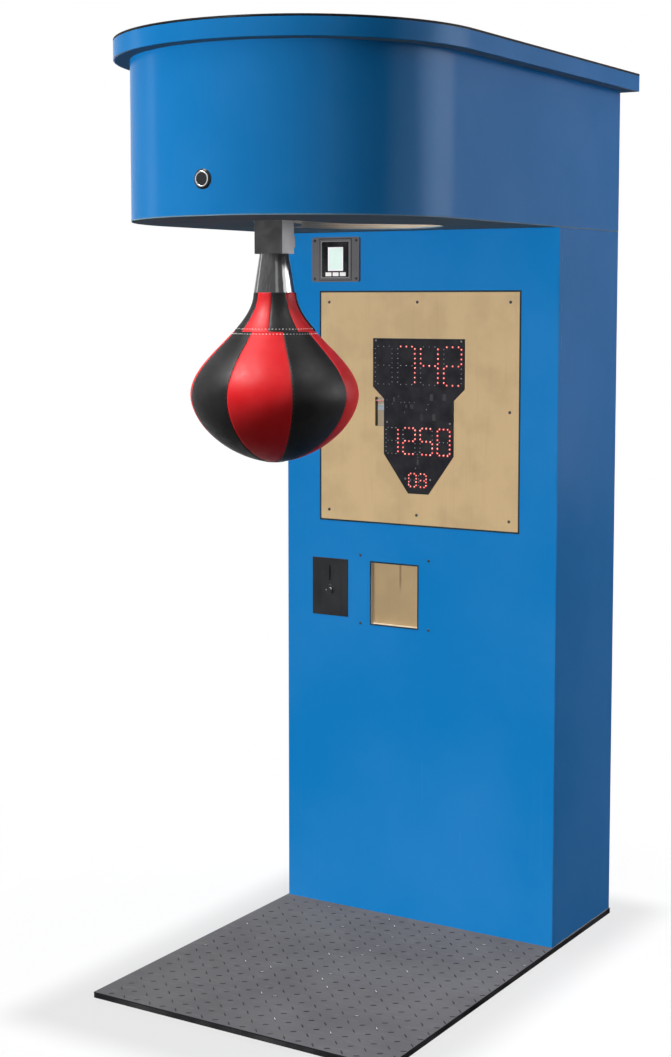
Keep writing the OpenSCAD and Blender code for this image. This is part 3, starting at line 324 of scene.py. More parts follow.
def plywood(name, axis, low, high, along, shade=0.0, glue=1.0, pocket=0.0, streak=None):
    """Plywood: face grain one way and plies across the given axis at its edges.

    Shade darkens it as painted shade, and a negative shade lightens it as painted light; glue is the strength
    of its glue lines. A pocket, which lies within a distance of the middle of its thickness, is darker and
    greyer, as painted shade in the pocket. A dark upright streak lies at a place across, from a height
    upwards.
    """
    dark = tint("ply_dark")
    birch = lighter(tint("plywood"), -shade)
    finish = Finish(name, specular_ior_level=0.1)
    scale = {"X": (2.2, 40.0, 40.0), "Y": (40.0, 2.2, 40.0), "Z": (40.0, 40.0, 2.2)}[along]
    fibres, fine, pores = (
        finish.noise(1.0, detail, rough, finish.stretch(tuple(size * s for s in scale)))
        for size, detail, rough in ((1.0, 6.0, 0.62), (6.0, 3.0, 0.6), (22.0, 2.0, 0.5)))
    grain = finish.math("ADD", finish.times(fibres, 0.65), finish.times(fine, 0.35))
    light = finish.shades(finish.noise(11.0, 3.0, 0.5), 0.4, 0.66, birch, 0.0, -0.11)
    face = finish.mix(finish.range(grain, 0.46, 0.72, 0.0, 0.18), light, dark)
    face = finish.mix(finish.times(finish.range(pores, 0.70, 0.78), 0.2), face, lighter(dark, -0.35))
    index = "XYZ".index(axis)
    depth = finish.split()[index]
    layer = finish.times(finish.math("SUBTRACT", depth, low), settings().boards.plies / (high - low))
    stripe = finish.math("PINGPONG", layer, 1.0)
    edge = finish.mix(finish.range(stripe, 0.35, 0.65, 0.0, glue), lighter(birch, -0.12), dark)
    edge = finish.mix(finish.range(fine, 0.4, 0.7, 0.0, 0.5 * glue), edge, lighter(dark, -0.3))
    facing = finish.split(finish.normal())[index]
    on_face = finish.math("GREATER_THAN", finish.math("ABSOLUTE", facing), 0.5)
    # A dark upright streak, from a height upwards, that fades within a few millimetres to each side.
    if streak:
        across, _, up = finish.split()[0:3]
        beside = finish.off(across, streak[0])
        mark = finish.times(finish.range(beside, 0.8 * MM, 4.2 * MM, 0.8, 0.0),
                            finish.range(up, streak[1] - 14 * MM, streak[1] + 25 * MM))
        face = finish.mix(mark, face, lighter(dark, -0.5))
    tone = finish.mix(on_face, edge, face)
    # Painted shade in the pocket beside the display: its back greyer and darker, its sides darker still.
    if pocket:
        inside = finish.math("LESS_THAN", finish.off(depth, (low + high) / 2), pocket)
        tone = finish.mix(inside, tone, finish.mix(on_face, srgb(78, 72, 55), srgb(158, 144, 122)))
    finish.set(base_color=tone, roughness=finish.range(grain, 0.3, 0.8, 0.5, 0.68))
    finish.bump(grain, 0.18, 0.25 * MM)
    return finish.material


def speckled(name, base, rough, specular=0.3, grain=420.0, swing=0.12, patch=9.0, depth=0.06, metal=0.0):
    """Moulded plastic, paint or rubber: soft patches, fine grain, and roughness that varies."""
    finish = Finish(name, specular_ior_level=specular, metallic=metal)
    worn = finish.noise(patch * 4, 5.0, 0.6)
    finish.set(base_color=finish.shades(finish.noise(patch, 4.0, 0.55), 0.3, 0.7, base, -swing, swing * 0.3),
               roughness=finish.range(worn, 0.3, 0.7, rough - 0.06, rough + 0.08))
    finish.bump(finish.noise(grain, 2.0), depth * 4, depth * MM)
    return finish.material


def brushed(name, base, rough, scale):
    """Metal with fine brush lines along the axis in which its scale is small."""
    finish = Finish(name, metallic=1.0)
    lines = finish.noise(1.0, 4.0, 0.6, finish.stretch(scale))
    stains = finish.range(finish.noise(14.0, 4.0, 0.6), 0.5, 0.8, 0.0, 0.25)
    tone = finish.mix(stains, finish.shades(lines, 0.3, 0.7, base, -0.16, 0.04), lighter(base, -0.45))
    finish.set(base_color=tone, roughness=finish.range(lines, 0.3, 0.7, rough - 0.05, rough + 0.08))
    finish.bump(lines, 0.1, 0.05 * MM)
    return finish.material


def sleeve_steel():
    """Dark lacquered steel of the neck sleeve, brushed upright under the lacquer."""
    finish = Finish("sleeve_steel", specular_ior_level=0.5, roughness=0.1)
    lines = finish.noise(1.0, 2.0, 0.5, finish.stretch((260.0, 260.0, 1.5)))
    finish.set(base_color=finish.shades(lines, 0.3, 0.7, tint("sleeve"), -0.08, 0.02))
    finish.bump(lines, 0.03, 0.02 * MM)
    return finish.material


def leather(name):
    """Leather: pebbled grain with fine creases, and soft clouds in its colour."""
    base = tint(name)
    finish = Finish(name, specular_ior_level=0.028)
    cells = finish.add("TexVoronoi", {"Vector": finish.place, "Scale": 900.0}, feature="DISTANCE_TO_EDGE")
    cells = cells.outputs["Distance"]
    creases = finish.noise(260.0, 5.0, 0.7, distortion=0.6)
    tone = finish.shades(finish.noise(9.0, 4.0, 0.6), 0.3, 0.7, base, -0.10, 0.015)
    # Painted shade: darker in the valleys between the pebbles.
    tone = finish.mix(finish.range(cells, 0.0, 0.12, 0.28, 0.0), tone, lighter(base, -0.6))
    finish.set(base_color=tone, roughness=finish.range(finish.noise(60.0, 4.0, 0.6), 0.3, 0.7, 0.36, 0.5))
    pebbles = finish.math("ADD", finish.range(cells, 0.0, 0.25), finish.times(creases, 0.5))
    finish.bump(pebbles, 0.35, 0.12 * MM)
    return finish.material


def glowing(name, base, strength):
    """A light that is on: clear plastic with a bright core."""
    finish = Finish(name, base_color=base, roughness=0.25, emission_strength=strength)
    finish.set(emission_color=finish.shades(finish.noise(700.0, 2.0), 0.3, 0.7, base, 0.0, 0.12))
    return finish.material


# Speckled materials: a colour or the name of a setting, roughness, specular level, and then, where they
# differ from the usual, grain's scale, swing of the colour, patches' scale, grain's depth and share of metal.
SPECKLED = {
    "black_laminate": ((34, 35, 38), 0.8, 0.02, 160.0, 0.05, 30.0),
    # Painted light: the black underside sheets in a pale grey-blue, lighter than their own black.
    "underside_laminate_painted_light": ("laminate", 0.9, 0.02, 160.0, 0.05),
    # Dark strips round the front's openings: painted shade in the score panel's gap, and the laminate's dark
    # edge round the recess.
    "cutout_dark_edge_and_gap_shade": ((24, 40, 50), 0.6, 0.02, 300.0, 0.05),
    "recess_reveal": ((196, 182, 158), 0.6, 0.05, 300.0, 0.06),
    "edge_black": ("edge", 0.8, 0.0),
    "arm_paint": ("arm", 0.34, 0.33, 650.0, 0.04, 9.0, 0.1),
    "rubber": ((28, 28, 29), 0.7),
    # Painted highlight on the rim of the return button.
    "highlight_rim": ((216, 216, 218), 0.4),
    "black_plastic": ((38, 39, 42), 0.42, 0.04, 700.0, 0.04),
    "thread": ("thread", 0.8, 0.2, 3000.0),
    "dark_thread": ((74, 50, 50), 0.8, 0.2, 3000.0),
    "led_clear": ("unlit", 0.25, 0.1, 900.0),
    "led_clear_collar": ((34, 35, 40), 0.4, 0.05, 900.0),
    "display_black": ("circuit", 0.45, 0.03, 500.0, 0.04, 30.0),
    "chip": ((50, 50, 53), 0.6, 0.05, 900.0),
    "tinned_legs": ((72, 72, 76), 0.5, 0.1, 900.0),
    "solder": ((120, 122, 128), 0.4, 0.1, 900.0),
    "terminal_grey": ("housing", 0.5, 0.05, 650.0, 0.04),
    # Painted highlight round the terminal's face, and painted shade round the foot of its rim.
    "terminal_face_highlight": ((138, 137, 138), 0.5, 0.05, 900.0),
    "terminal_rim_shade": ((38, 38, 40), 0.7, 0.02, 900.0),
    "gloss_black": ((22, 24, 26), 0.25, 0.05, 900.0, 0.12, 9.0, 0.02),
    "pad_white": ((250, 248, 244), 0.4, 0.3, 900.0),
    "dark_screw": ((30, 34, 42), 0.45, 0.1, 900.0),
    "zinc_screw": ((122, 122, 124), 0.4, 0.1, 900.0),
    "grey_sheet": ((150, 152, 156), 0.45, 0.4, 420.0, 0.12, 9.0, 0.06, 0.6),
    "circuit_green": ((22, 92, 52), 0.4, 0.35, 500.0),
    "tread_glint": ((205, 205, 205), 0.4, 0.1),
}
MATERIALS = {
    "blue_edge": blue_edge,
    "sleeve_steel": sleeve_steel,
    "steel": lambda: brushed("steel", tint("steel"), 0.42, (30.0, 400.0, 400.0)),
    "bronze": lambda: brushed("bronze", srgb(176, 136, 72), 0.35, (60.0, 500.0, 500.0)),
    "polished_steel": lambda: brushed("polished_steel", srgb(196, 198, 202), 0.2, (500.0, 60.0, 500.0)),
    "red_leather": lambda: leather("red_leather"),
    "black_leather": lambda: leather("black_leather"),
    "led_red": lambda: glowing("led_red", srgb(255, 150, 132), 1.5),
    "led_red_collar": lambda: glowing("led_red_collar", srgb(190, 14, 12), 0.6),
    # Painted highlight on the rounded edges of the terminal's housing.
    "terminal_edge_highlight": lambda: speckled("terminal_edge_highlight", lighter(tint("housing"), 0.06), 0.45, 0.05),
    # Painted shade on the tread's bars, darkest on their sides, and a painted shadow round their feet.
    "tread_bar_top_shade": lambda: speckled("tread_bar_top_shade", lighter(tint("tread"), -0.76), 0.7, 0.03),
    "tread_bar_side_shade": lambda: speckled("tread_bar_side_shade", lighter(tint("tread"), -0.88), 0.8, 0.0),
    "tread_bar_shadow": lambda: speckled("tread_bar_shadow", lighter(tint("tread"), -0.4), 0.9, 0.0),
}


@cache
def kit(name):
    """A material that several pieces may share, made when it is first asked for."""
    if name in MATERIALS:
        return MATERIALS[name]()
    base, *rest = SPECKLED[name]
    return speckled(name, tint(base) if isinstance(base, str) else srgb(*base), *rest)


def give(mesh, materials):
    for material in materials:
        mesh.materials.append(kit(material) if isinstance(material, str) else material)


def dress(node, width, *materials, segments=2):
    """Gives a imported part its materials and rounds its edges; a second material goes on the roundings."""
    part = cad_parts[node]
    part.data.materials.clear()
    give(part.data, materials)
    if not width:
        return
    weld = part.modifiers.new("weld", "WELD")
    weld.merge_threshold = 0.01 * MM
    bevel = part.modifiers.new("rounding", "BEVEL")
    bevel.width = width
    bevel.segments = segments
    bevel.limit_method = "ANGLE"
    bevel.angle_limit = radians(35)
    bevel.use_clamp_overlap = True
    bevel.loop_slide = False
    if len(materials) > 1:
        bevel.material = 1
    smooth = part.modifiers.new("normals", "WEIGHTED_NORMAL")
    smooth.keep_sharp = False
    smooth.weight = 80


def dress_all(parts, segments=2):
    """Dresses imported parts, each with the width of its rounded edges in millimetres and its material."""
    for node, (width, material) in parts.items():
        dress(node, width * MM, material, segments=segments)


def new_object(name, data):
    """An object in the scene."""
    result = bpy.data.objects.new(name, data)
    bpy.context.scene.collection.objects.link(result)
    return result


def to_mesh(name, source):
    """A mesh from a bmesh, which is used up."""
    data = bpy.data.meshes.new(name)
    source.to_mesh(data)
    source.free()
    return data


def add_piece(name, source, body, slot, materials, smooth=True):
    """Makes an object from a bmesh, with its materials, and lets it ride on a body."""
    bmesh.ops.remove_doubles(source, verts=source.verts, dist=0.001 * MM)
    bmesh.ops.recalc_face_normals(source, faces=source.faces)
    data = to_mesh(name, source)
    data.polygons.foreach_set("use_smooth", [smooth] * len(data.polygons))
    give(data, materials)
    piece = new_object(name, data)
    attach(piece, body)
    return piece


def circle(count):
    """Cosine and sine of even steps round a circle."""
    return [(cos(2 * pi * k / count), sin(2 * pi * k / count)) for k in range(count)]


def bridge(mesh, rings, materials=None):
    """Joins rings of vertices, each to the next and with its own material; a ring may be one point."""
    for low, high, material in zip(rings, rings[1:], materials or [0] * len(rings)):
        for k in range(max(len(low), len(high))):
            after = k + 1
            corners = [low[k % len(low)], low[after % len(low)], high[after % len(high)], high[k % len(high)]]
            mesh.faces.new(list(dict.fromkeys(corners))).material_index = material


def lathe(mesh, profile, place, axis, segments=24, material=0):
    """Turns a profile of (radius, distance along the axis) into a closed solid at a place."""
    turn = Vector((0, 0, 1)).rotation_difference(Vector(axis)).to_matrix().to_4x4()
    at = Matrix.Translation(place) @ turn
    rings = []
    for radius, along in profile:
        spots = circle(segments) if radius >= 0.001 * MM else [(0.0, 0.0)]
        rings.append([mesh.verts.new(at @ Vector((radius * x, radius * y, along))) for x, y in spots])
    bridge(mesh, rings, [material] * len(rings))
    for ring in (rings[0], rings[-1]):
        if len(ring) > 1:
            mesh.faces.new(ring).material_index = material


def block(mesh, low, high, rounding=0.0, material=0):
    """A box between two corners, with rounded edges if asked."""
    low, high = Vector(low), Vector(high)
    centre = Matrix.Translation((low + high) / 2) @ Matrix.Diagonal((*(high - low), 1.0))
    verts = bmesh.ops.create_cube(mesh, size=1.0, matrix=centre)["verts"]
    faces = list(dict.fromkeys(f for v in verts for f in v.link_faces))
    for face in faces:
        face.material_index = material
    if rounding:
        edges = list(dict.fromkeys(e for f in faces for e in f.edges))
        bmesh.ops.bevel(
            mesh, geom=edges, offset=rounding, segments=2, affect="EDGES", profile=0.6, material=material)


def add_frame(mesh, low, high, front, wide, thick, material):
    """A flat rectangular frame round a box's outline, on a plane that faces -Y."""
    left, right, bottom, top = low.x - wide, high.x + wide, low.z - wide, high.z + wide
    for x0, x1, z0, z1 in ((left, right, high.z, top), (left, right, bottom, low.z),
                           (left, low.x, low.z, high.z), (high.x, right, low.z, high.z)):
        block(mesh, (x0, front - thick, z0), (x1, front + thick, z1), 0.0, material)


def solids(node):
    """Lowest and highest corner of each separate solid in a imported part."""
    mesh = bmesh.new()
    mesh.from_mesh(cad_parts[node].data)
    bmesh.ops.remove_doubles(mesh, verts=mesh.verts, dist=0.01 * MM)
    seen, boxes = set(), []
    for start in mesh.verts:
        if start in seen:
            continue
        seen.add(start)
        waiting, group = [start], []
        while waiting:
            vert = waiting.pop()
            group.append(vert.co.copy())
            others = [edge.other_vert(vert) for edge in vert.link_edges]
            fresh = [other for other in others if other not in seen]
            seen.update(fresh)
            waiting += fresh
        boxes.append((Vector([min(c) for c in zip(*group)]), Vector([max(c) for c in zip(*group)])))
    mesh.free()
    return boxes


def apply_modifiers(piece):
    """Replaces a piece's mesh by what its modifiers make of it."""
    bpy.context.view_layer.update()
    evaluated = piece.evaluated_get(bpy.context.evaluated_depsgraph_get())
    result = bpy.data.meshes.new_from_object(evaluated)
    piece.modifiers.clear()
    piece.data = result


def carve(piece, cutter):
    """Cuts a bmesh out of a piece."""
    bmesh.ops.recalc_face_normals(cutter, faces=cutter.faces)
    tool = new_object("cutter", to_mesh("cutter", cutter))
    cut = piece.modifiers.new("cut", "BOOLEAN")
    cut.object = tool
    cut.operation = "DIFFERENCE"
    cut.solver = "EXACT"
    apply_modifiers(piece)
    bpy.data.objects.remove(tool)


class BOXING_OT_studio(bpy.types.Operator):
    """Make the camera, the lights, the world and the floor"""

    bl_idname = "boxing.studio"
    bl_label = "Camera, lights and floor"

    # Lights that only gloss shows: turn to the right of the front in degrees, width, foot, height, radiance.
    BANDS = ((147, 1.8, 0.5, 3.1, 3.2), (137, 0.8, 0.9, 2.7, 22.0), (121, 2.0, 1.2, 2.4, 32.0),
             (99, 2.2, 1.2, 2.4, 13.0), (48, 1.6, 1.2, 2.4, 3.5), (-82, 0.8, 1.2, 2.4, 6.0))
    # Light behind and right: turn, width, foot and height. Its colour is also that of the first band.
    SIDE = (141, 2.6, 1.2, 2.4)
    SIDE_COLOUR = (1.0, 0.92, 1.06)
    # What the upright lights stand round.
    LIGHTS_MIDDLE = Vector((0.0, -0.2, 0.0))
    # Suns: name, height and turn in degrees, irradiance as a share of its setting.
    SUNS = (("key", 46, -36, 1.0), ("highlights", 55, -36, 1.25), ("highlights_right", 52, 113, 0.28))
    # Painted shadow of the machine on the floor, a grey round it. It fades between two distances beside the
    # platform, and between two distances before and behind a middle, which is given from the platform's own.
    SHADE = (0.806, 0.806, 0.806)
    SHADE_SIDE = (0.03, 0.17)
    SHADE_FRONT = (0.62, 0.76)
    SHADE_MIDDLE = -0.0415
    # How much darker the floor is where light falls on it, and its colour for the light that it throws back.
    LIT_DARKER = 0.3
    THROWN_BACK = (0.06, 0.06, 0.06)
    # The floor turns from mostly plain to all plain between two distances from the middle.
    PLAIN_AT = (0.9, 1.6)
    MOSTLY_PLAIN = 0.75

    def execute(self, context):
        studio = settings().studio
        data = bpy.data.cameras.new("camera")
        data.lens = studio.lens
        data.shift_y = studio.shift
        data.clip_end = 60.0
        camera = new_object("camera", data)
        camera.location = studio.camera_place
        camera.rotation_euler = (pi / 2 - studio.camera_down, 0.0, studio.camera_turn)
        context.scene.camera = camera
        context.scene.view_settings.view_transform = "Standard"
        self.add_lights(studio)
        context.scene.world = self.make_world(studio)
        self.add_floor()
        return {"FINISHED"}

    def add_lights(self, studio):
        for name, height, turn, share_of in self.SUNS:
            light = bpy.data.lights.new(name, "SUN")
            light.energy = share_of * (studio.key if name == "key" else studio.gloss)
            light.angle = radians(20)
            light.use_shadow = False
            lamp = new_object(name, light)
            lamp.rotation_euler = (radians(90 - height), 0.0, radians(turn))
            lamp.visible_diffuse = name == "key"
        lamp = self.add_upright("side", *self.SIDE, studio.side)
        lamp.visible_glossy = False
        lamp.data.use_shadow = False
        lamp.data.color = self.SIDE_COLOUR
        for k, (turn, width, foot, height, radiance) in enumerate(self.BANDS):
            lamp = self.add_upright(f"band_{k}", turn, width, foot, height, radiance * pi * width * height)
            lamp.visible_diffuse = False
            if k == 0:
                lamp.data.color = self.SIDE_COLOUR

    def add_upright(self, name, turn, width, foot, height, power):
        """An upright area light of a width, foot and height, round the machine at the studio's distance."""
        light = bpy.data.lights.new(name, "AREA")
        light.shape = "RECTANGLE"
        light.size = width
        light.size_y = height
        light.energy = power
        lamp = new_object(name, light)
        away = Vector((sin(radians(turn)), -cos(radians(turn)), 0.0))
        middle = self.LIGHTS_MIDDLE + Vector((0.0, 0.0, foot + height / 2))
        lamp.location = middle + away * settings().studio.far
        lamp.rotation_euler = (-away).to_track_quat("-Z", "Y").to_euler()
        return lamp

    def make_world(self, studio):
        """White where the camera or a mirror sees it, and a plain ambient light for the rest."""
        world = bpy.data.worlds.new("world")
        world.use_nodes = True
        nodes, links = world.node_tree.nodes, world.node_tree.links
        both = nodes.new("ShaderNodeMixShader")
        links.new(seen_rays(nodes, links), both.inputs[0])
        lights = (nodes["Background"], studio.ambient), (nodes.new("ShaderNodeBackground"), 1.0)
        for socket, (light, strength) in zip(both.inputs[1:3], lights):
            light.inputs["Color"].default_value = (1.0, 1.0, 1.0, 1.0)
            light.inputs["Strength"].default_value = strength
            links.new(light.outputs[0], socket)
        links.new(both.outputs[0], nodes["World Output"].inputs["Surface"])
        return world

    def add_floor(self):
        """Pale floor with a painted shadow near the machine, which also keeps the real shadow, and fades into
        the white behind it.
        """
        mesh = bmesh.new()
        bmesh.ops.create_circle(mesh, cap_ends=True, segments=96, radius=25.0)
        floor = new_object("floor", to_mesh("floor", mesh))
        finish = Finish("floor")
        seen = seen_rays(finish.nodes, finish.links)
        low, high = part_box("base_board")
        middle = (low + high) / 2
        across, along, _ = finish.split()[0:3]
        beside, before = (high.x + far for far in self.SHADE_SIDE), self.SHADE_FRONT
        # Painted shadow round the platform; pale is the floor's white with this shadow in it.
        shade = finish.times(
            finish.range(finish.off(across, middle.x), *beside, 1.0, 0.0),
            finish.range(finish.off(along, middle.y + self.SHADE_MIDDLE), *before, 1.0, 0.0))
        pale = finish.mix(shade, (1.0, 1.0, 1.0), self.SHADE)
        lit = finish.mix(self.LIT_DARKER, pale, (0.0, 0.0, 0.0))
        near = finish.add("BsdfDiffuse", {"Color": finish.mix(seen, self.THROWN_BACK, lit)}).outputs[0]
        plain = finish.add("Emission", {"Color": pale, "Strength": 1.0}).outputs[0]
        distance = finish.add("VectorMath", {0: finish.place}, operation="LENGTH").outputs["Value"]
        fade = finish.times(seen, finish.range(distance, *self.PLAIN_AT, self.MOSTLY_PLAIN, 1.0))
        both = finish.add("MixShader", {0: fade, 1: near, 2: plain}).outputs[0]
        finish.links.new(both, finish.nodes["Material Output"].inputs["Surface"])
        give(floor.data, [finish.material])


class BOXING_OT_boards(bpy.types.Operator):
    """Finish the blue boards of the cabinet and the head"""

    bl_idname = "boxing.boards"
    bl_label = "Blue boards"

    # Boards, and the direction in which the bare side of each faces.
    BARE = {
        "cabinet_left_side": (1, 0, 0), "cabinet_right_side": (-1, 0, 0), "cabinet_front": (0, 1, 0),
        "rear_frame": (0, -1, 0), "rear_door": (0, -1, 0), "head_back_panel": (0, -1, 0), "head_wrap": None,
    }
    # How far the sheet over the lid laps over its edge band.
    LAP = 2.2 * MM

    def execute(self, context):
        rounding = settings().boards.rounding
        finishes = {bare: blue_laminate(bare=bare) for bare in dict.fromkeys(self.BARE.values())}
        for node, bare in self.BARE.items():
            dress(node, rounding, finishes[bare], "blue_edge")
        band = blue_laminate("blue_lid_band", dark_from=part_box("lid_edge_band")[1].z - self.LAP)
        dress("lid_edge_band", rounding, band, band)
        return {"FINISHED"}


class BOXING_OT_openings(bpy.types.Operator):
    """Edge the openings of the front with dark strips, which are painted shade in the gap round the score
    panel and the laminate's dark edge round the recess, and line the recess beside the coin plate
    """

    bl_idname = "boxing.openings"
    bl_label = "Edges of the openings"

    # How far the recess's board reaches past its opening: left, bottom, right and top, in millimetres.
    BOARD_OVER = (44.0, 16.0, 44.0, 30.0)

    def execute(self, context):
        panel_low, panel_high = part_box("score_panel")
        board_low, board_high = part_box("recess_board")
        left, bottom, right, top = self.BOARD_OVER
        low = board_low + Vector((left, 0.0, bottom)) * MM
        high = board_high - Vector((right, 0.0, top)) * MM
        inset = Vector((1.2, 0.0, 1.2)) * MM
        panel_edge, recess_edge, thick, sheet = 4.0 * MM, 3.6 * MM, 0.3 * MM, 0.4 * MM
        mesh = bmesh.new()
        front = min(FRONT_Y, panel_low.y)
        # A dark strip round the score panel, painted shade in its gap; a dark strip round the recess, the
        # laminate's dark edge.
        add_frame(mesh, panel_low + inset, panel_high - inset, front, panel_edge, thick, 0)
        add_frame(mesh, low, high, FRONT_Y, recess_edge, thick, 0)
        back = board_low.y - sheet
        for x0, z0, x1, z1 in (
                (low.x, low.z, low.x + sheet, high.z), (high.x - sheet, low.z, high.x, high.z),
                (low.x, low.z, high.x, low.z + sheet), (low.x, high.z - sheet, high.x, high.z)):
            block(mesh, (x0, FRONT_Y + thick, z0), (x1, back, z1), 0.0, 1)
        add_piece("opening_edges", mesh, "cabinet", "blue_board", ["cutout_dark_edge_and_gap_shade", "recess_reveal"],
                  smooth=False)
        return {"FINISHED"}


class BOXING_OT_plywood(bpy.types.Operator):
    """Finish the score panel and the other plywood boards"""

    bl_idname = "boxing.plywood"
    bl_label = "Plywood"

    # Where the recess's board has a dark upright streak, as shares of its width and height.
    STREAK = (0.54, 0.52)
    # How far from the middle of the score panel's thickness the pocket beside the display still reaches.
    POCKET = 6 * MM

    def execute(self, context):
        low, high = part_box("recess_board")
        streak = (low.x + self.STREAK[0] * (high.x - low.x), low.z + self.STREAK[1] * (high.z - low.z))
        # Painted shade on the recess's board and on the backing frame, as the shade of the recess and of the
        # pocket; painted light on the head's floor board, whose edge shows in the opening.
        boards = {
            "score_panel": ("Y", "Z", {"pocket": self.POCKET}),
            "recess_board": ("Y", "Z", {"shade": 0.31, "streak": streak}),
            "panel_backing_frame": ("Y", "Z", {"shade": 0.3}), "cabinet_top_board": ("Z", "X", {}),
            "head_floor_board": ("Z", "Y", {"shade": -0.25, "glue": 0.25}),
            "corner_battens": ("Y", "Z", {}), "head_battens": ("Z", "X", {}),
        }
        for node, (axis, along, more) in boards.items():
            low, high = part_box(node)
            index = "XYZ".index(axis)
            dress(node, 0.5 * MM, plywood("ply_" + node, axis, low[index], high[index], along, **more))
        return {"FINISHED"}


class BOXING_OT_platform(bpy.types.Operator):
    """Finish the platform and raise the bars of its tread sheet"""

    bl_idname = "boxing.platform"
    bl_label = "Platform"

    # Distance of the first row of bars from the cabinet, and shift of the columns as a share of the pitch.
    FIRST_ROW = 31.8 * MM
    COLUMN_SHIFT = 0.46

    def execute(self, context):
        dress("base_board", 0.8 * MM, "edge_black")
        dress("tread_sheet", 0.2 * MM, self.sheet_finish())
        self.add_bars()
        return {"FINISHED"}

    def sheet_finish(self):
        """Worn grey sheet: scuffs, dust and fine pits."""
        base = tint("tread")
        finish = Finish("tread_grey", specular_ior_level=0.015)
        scuffs = finish.noise(1.0, 5.0, 0.7, finish.stretch((30.0, 120.0, 30.0), (0, 0, radians(32))))
        tone = finish.shades(finish.noise(5.0, 4.0, 0.6), 0.3, 0.7, base, -0.07, 0.02)
        tone = finish.mix(finish.range(scuffs, 0.5, 0.8, 0.0, 0.16), tone, lighter(base, 0.2))
        facing = finish.split(finish.normal())[2]
        tone = finish.mix(finish.math("LESS_THAN", facing, 0.5), tone, tint("edge"))
        finish.set(base_color=tone, roughness=finish.range(scuffs, 0.3, 0.8, 0.62, 0.45))
        finish.bump(finish.noise(500.0, 3.0), 0.2, 0.1 * MM)
        return finish.material

    def add_bars(self):
        """Bars lie one way and the other in turn, painted dark as their shade, with a painted shadow round
        their feet.
        """
        sizes = settings().tread
        low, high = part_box("tread_sheet")
        mesh = bmesh.new()
        chance = random.Random(5)
        across = int((high.x - low.x) / sizes.pitch / 2) + 1
        start_y = FRONT_Y - self.FIRST_ROW
        rows = int((start_y - low.y) / sizes.pitch) + 1
        for row in range(rows):
            for column in range(-across, across + 1):
                x, y = (column + self.COLUMN_SHIFT) * sizes.pitch, start_y - row * sizes.pitch
                other = (row + column) % 2 == 0
                long = sizes.bar_length * (1.0 if other else sizes.slant_share)
                half = Vector((long, sizes.bar_width)) * 0.5
                margin = half.x * 0.8
                if abs(x) > high.x - margin or y < low.y + margin or y > FRONT_Y - margin:
                    continue
                turn = Matrix.Rotation(sizes.cross_slant if other else sizes.slant, 4, "Z")
                # Some bars get a painted glint on their tops.
                top = 3 if chance.random() > 1 - sizes.bright else 0
                self.add_bar(mesh, Matrix.Translation((x, y, high.z)) @ turn, half, sizes.bar_height, top)
        add_piece("tread_bars", mesh, "cabinet", "tread_grey",
                  ["tread_bar_top_shade", "tread_bar_side_shade", "tread_bar_shadow", "tread_glint"])

    def add_bar(self, mesh, at, half, height, top):
        """An oval bar that narrows upwards, in steps of share of its size, margin, height and material."""
        # Steps from the foot: a ring of painted shadow, the side in painted shade, and the top, in painted
        # shade or with a painted glint.
        steps = ((1.0, 0.4 * MM, 0.04 * MM, 2), (1.0, 0.0, 0.05 * MM, 1), (0.9, 0.0, 0.8 * height, 0),
                 (0.7, 0.0, height, top))
        rings = [[mesh.verts.new(at @ Vector((x * (half.x * size + out), y * (half.y * size + out), up)))
                  for x, y in circle(14)] for size, out, up, _ in steps]
        bridge(mesh, rings, [step[3] for step in steps])
        mesh.faces.new(rings[-1]).material_index = top


class BOXING_OT_head(bpy.types.Operator):
    """Finish the black sheets and the lid"""

    bl_idname = "boxing.head"
    bl_label = "Sheets and lid"

    PARTS = {
        # The black sheets underneath carry painted light: a pale grey-blue instead of their own black.
        "head_bottom_sheet": (0.2, "underside_laminate_painted_light"), "lid_board": (0.2, "underside_laminate_painted_light"),
        "lid_top_sheet": (0.2, "black_laminate"),
    }

    def execute(self, context):
        dress_all(self.PARTS)
        return {"FINISHED"}


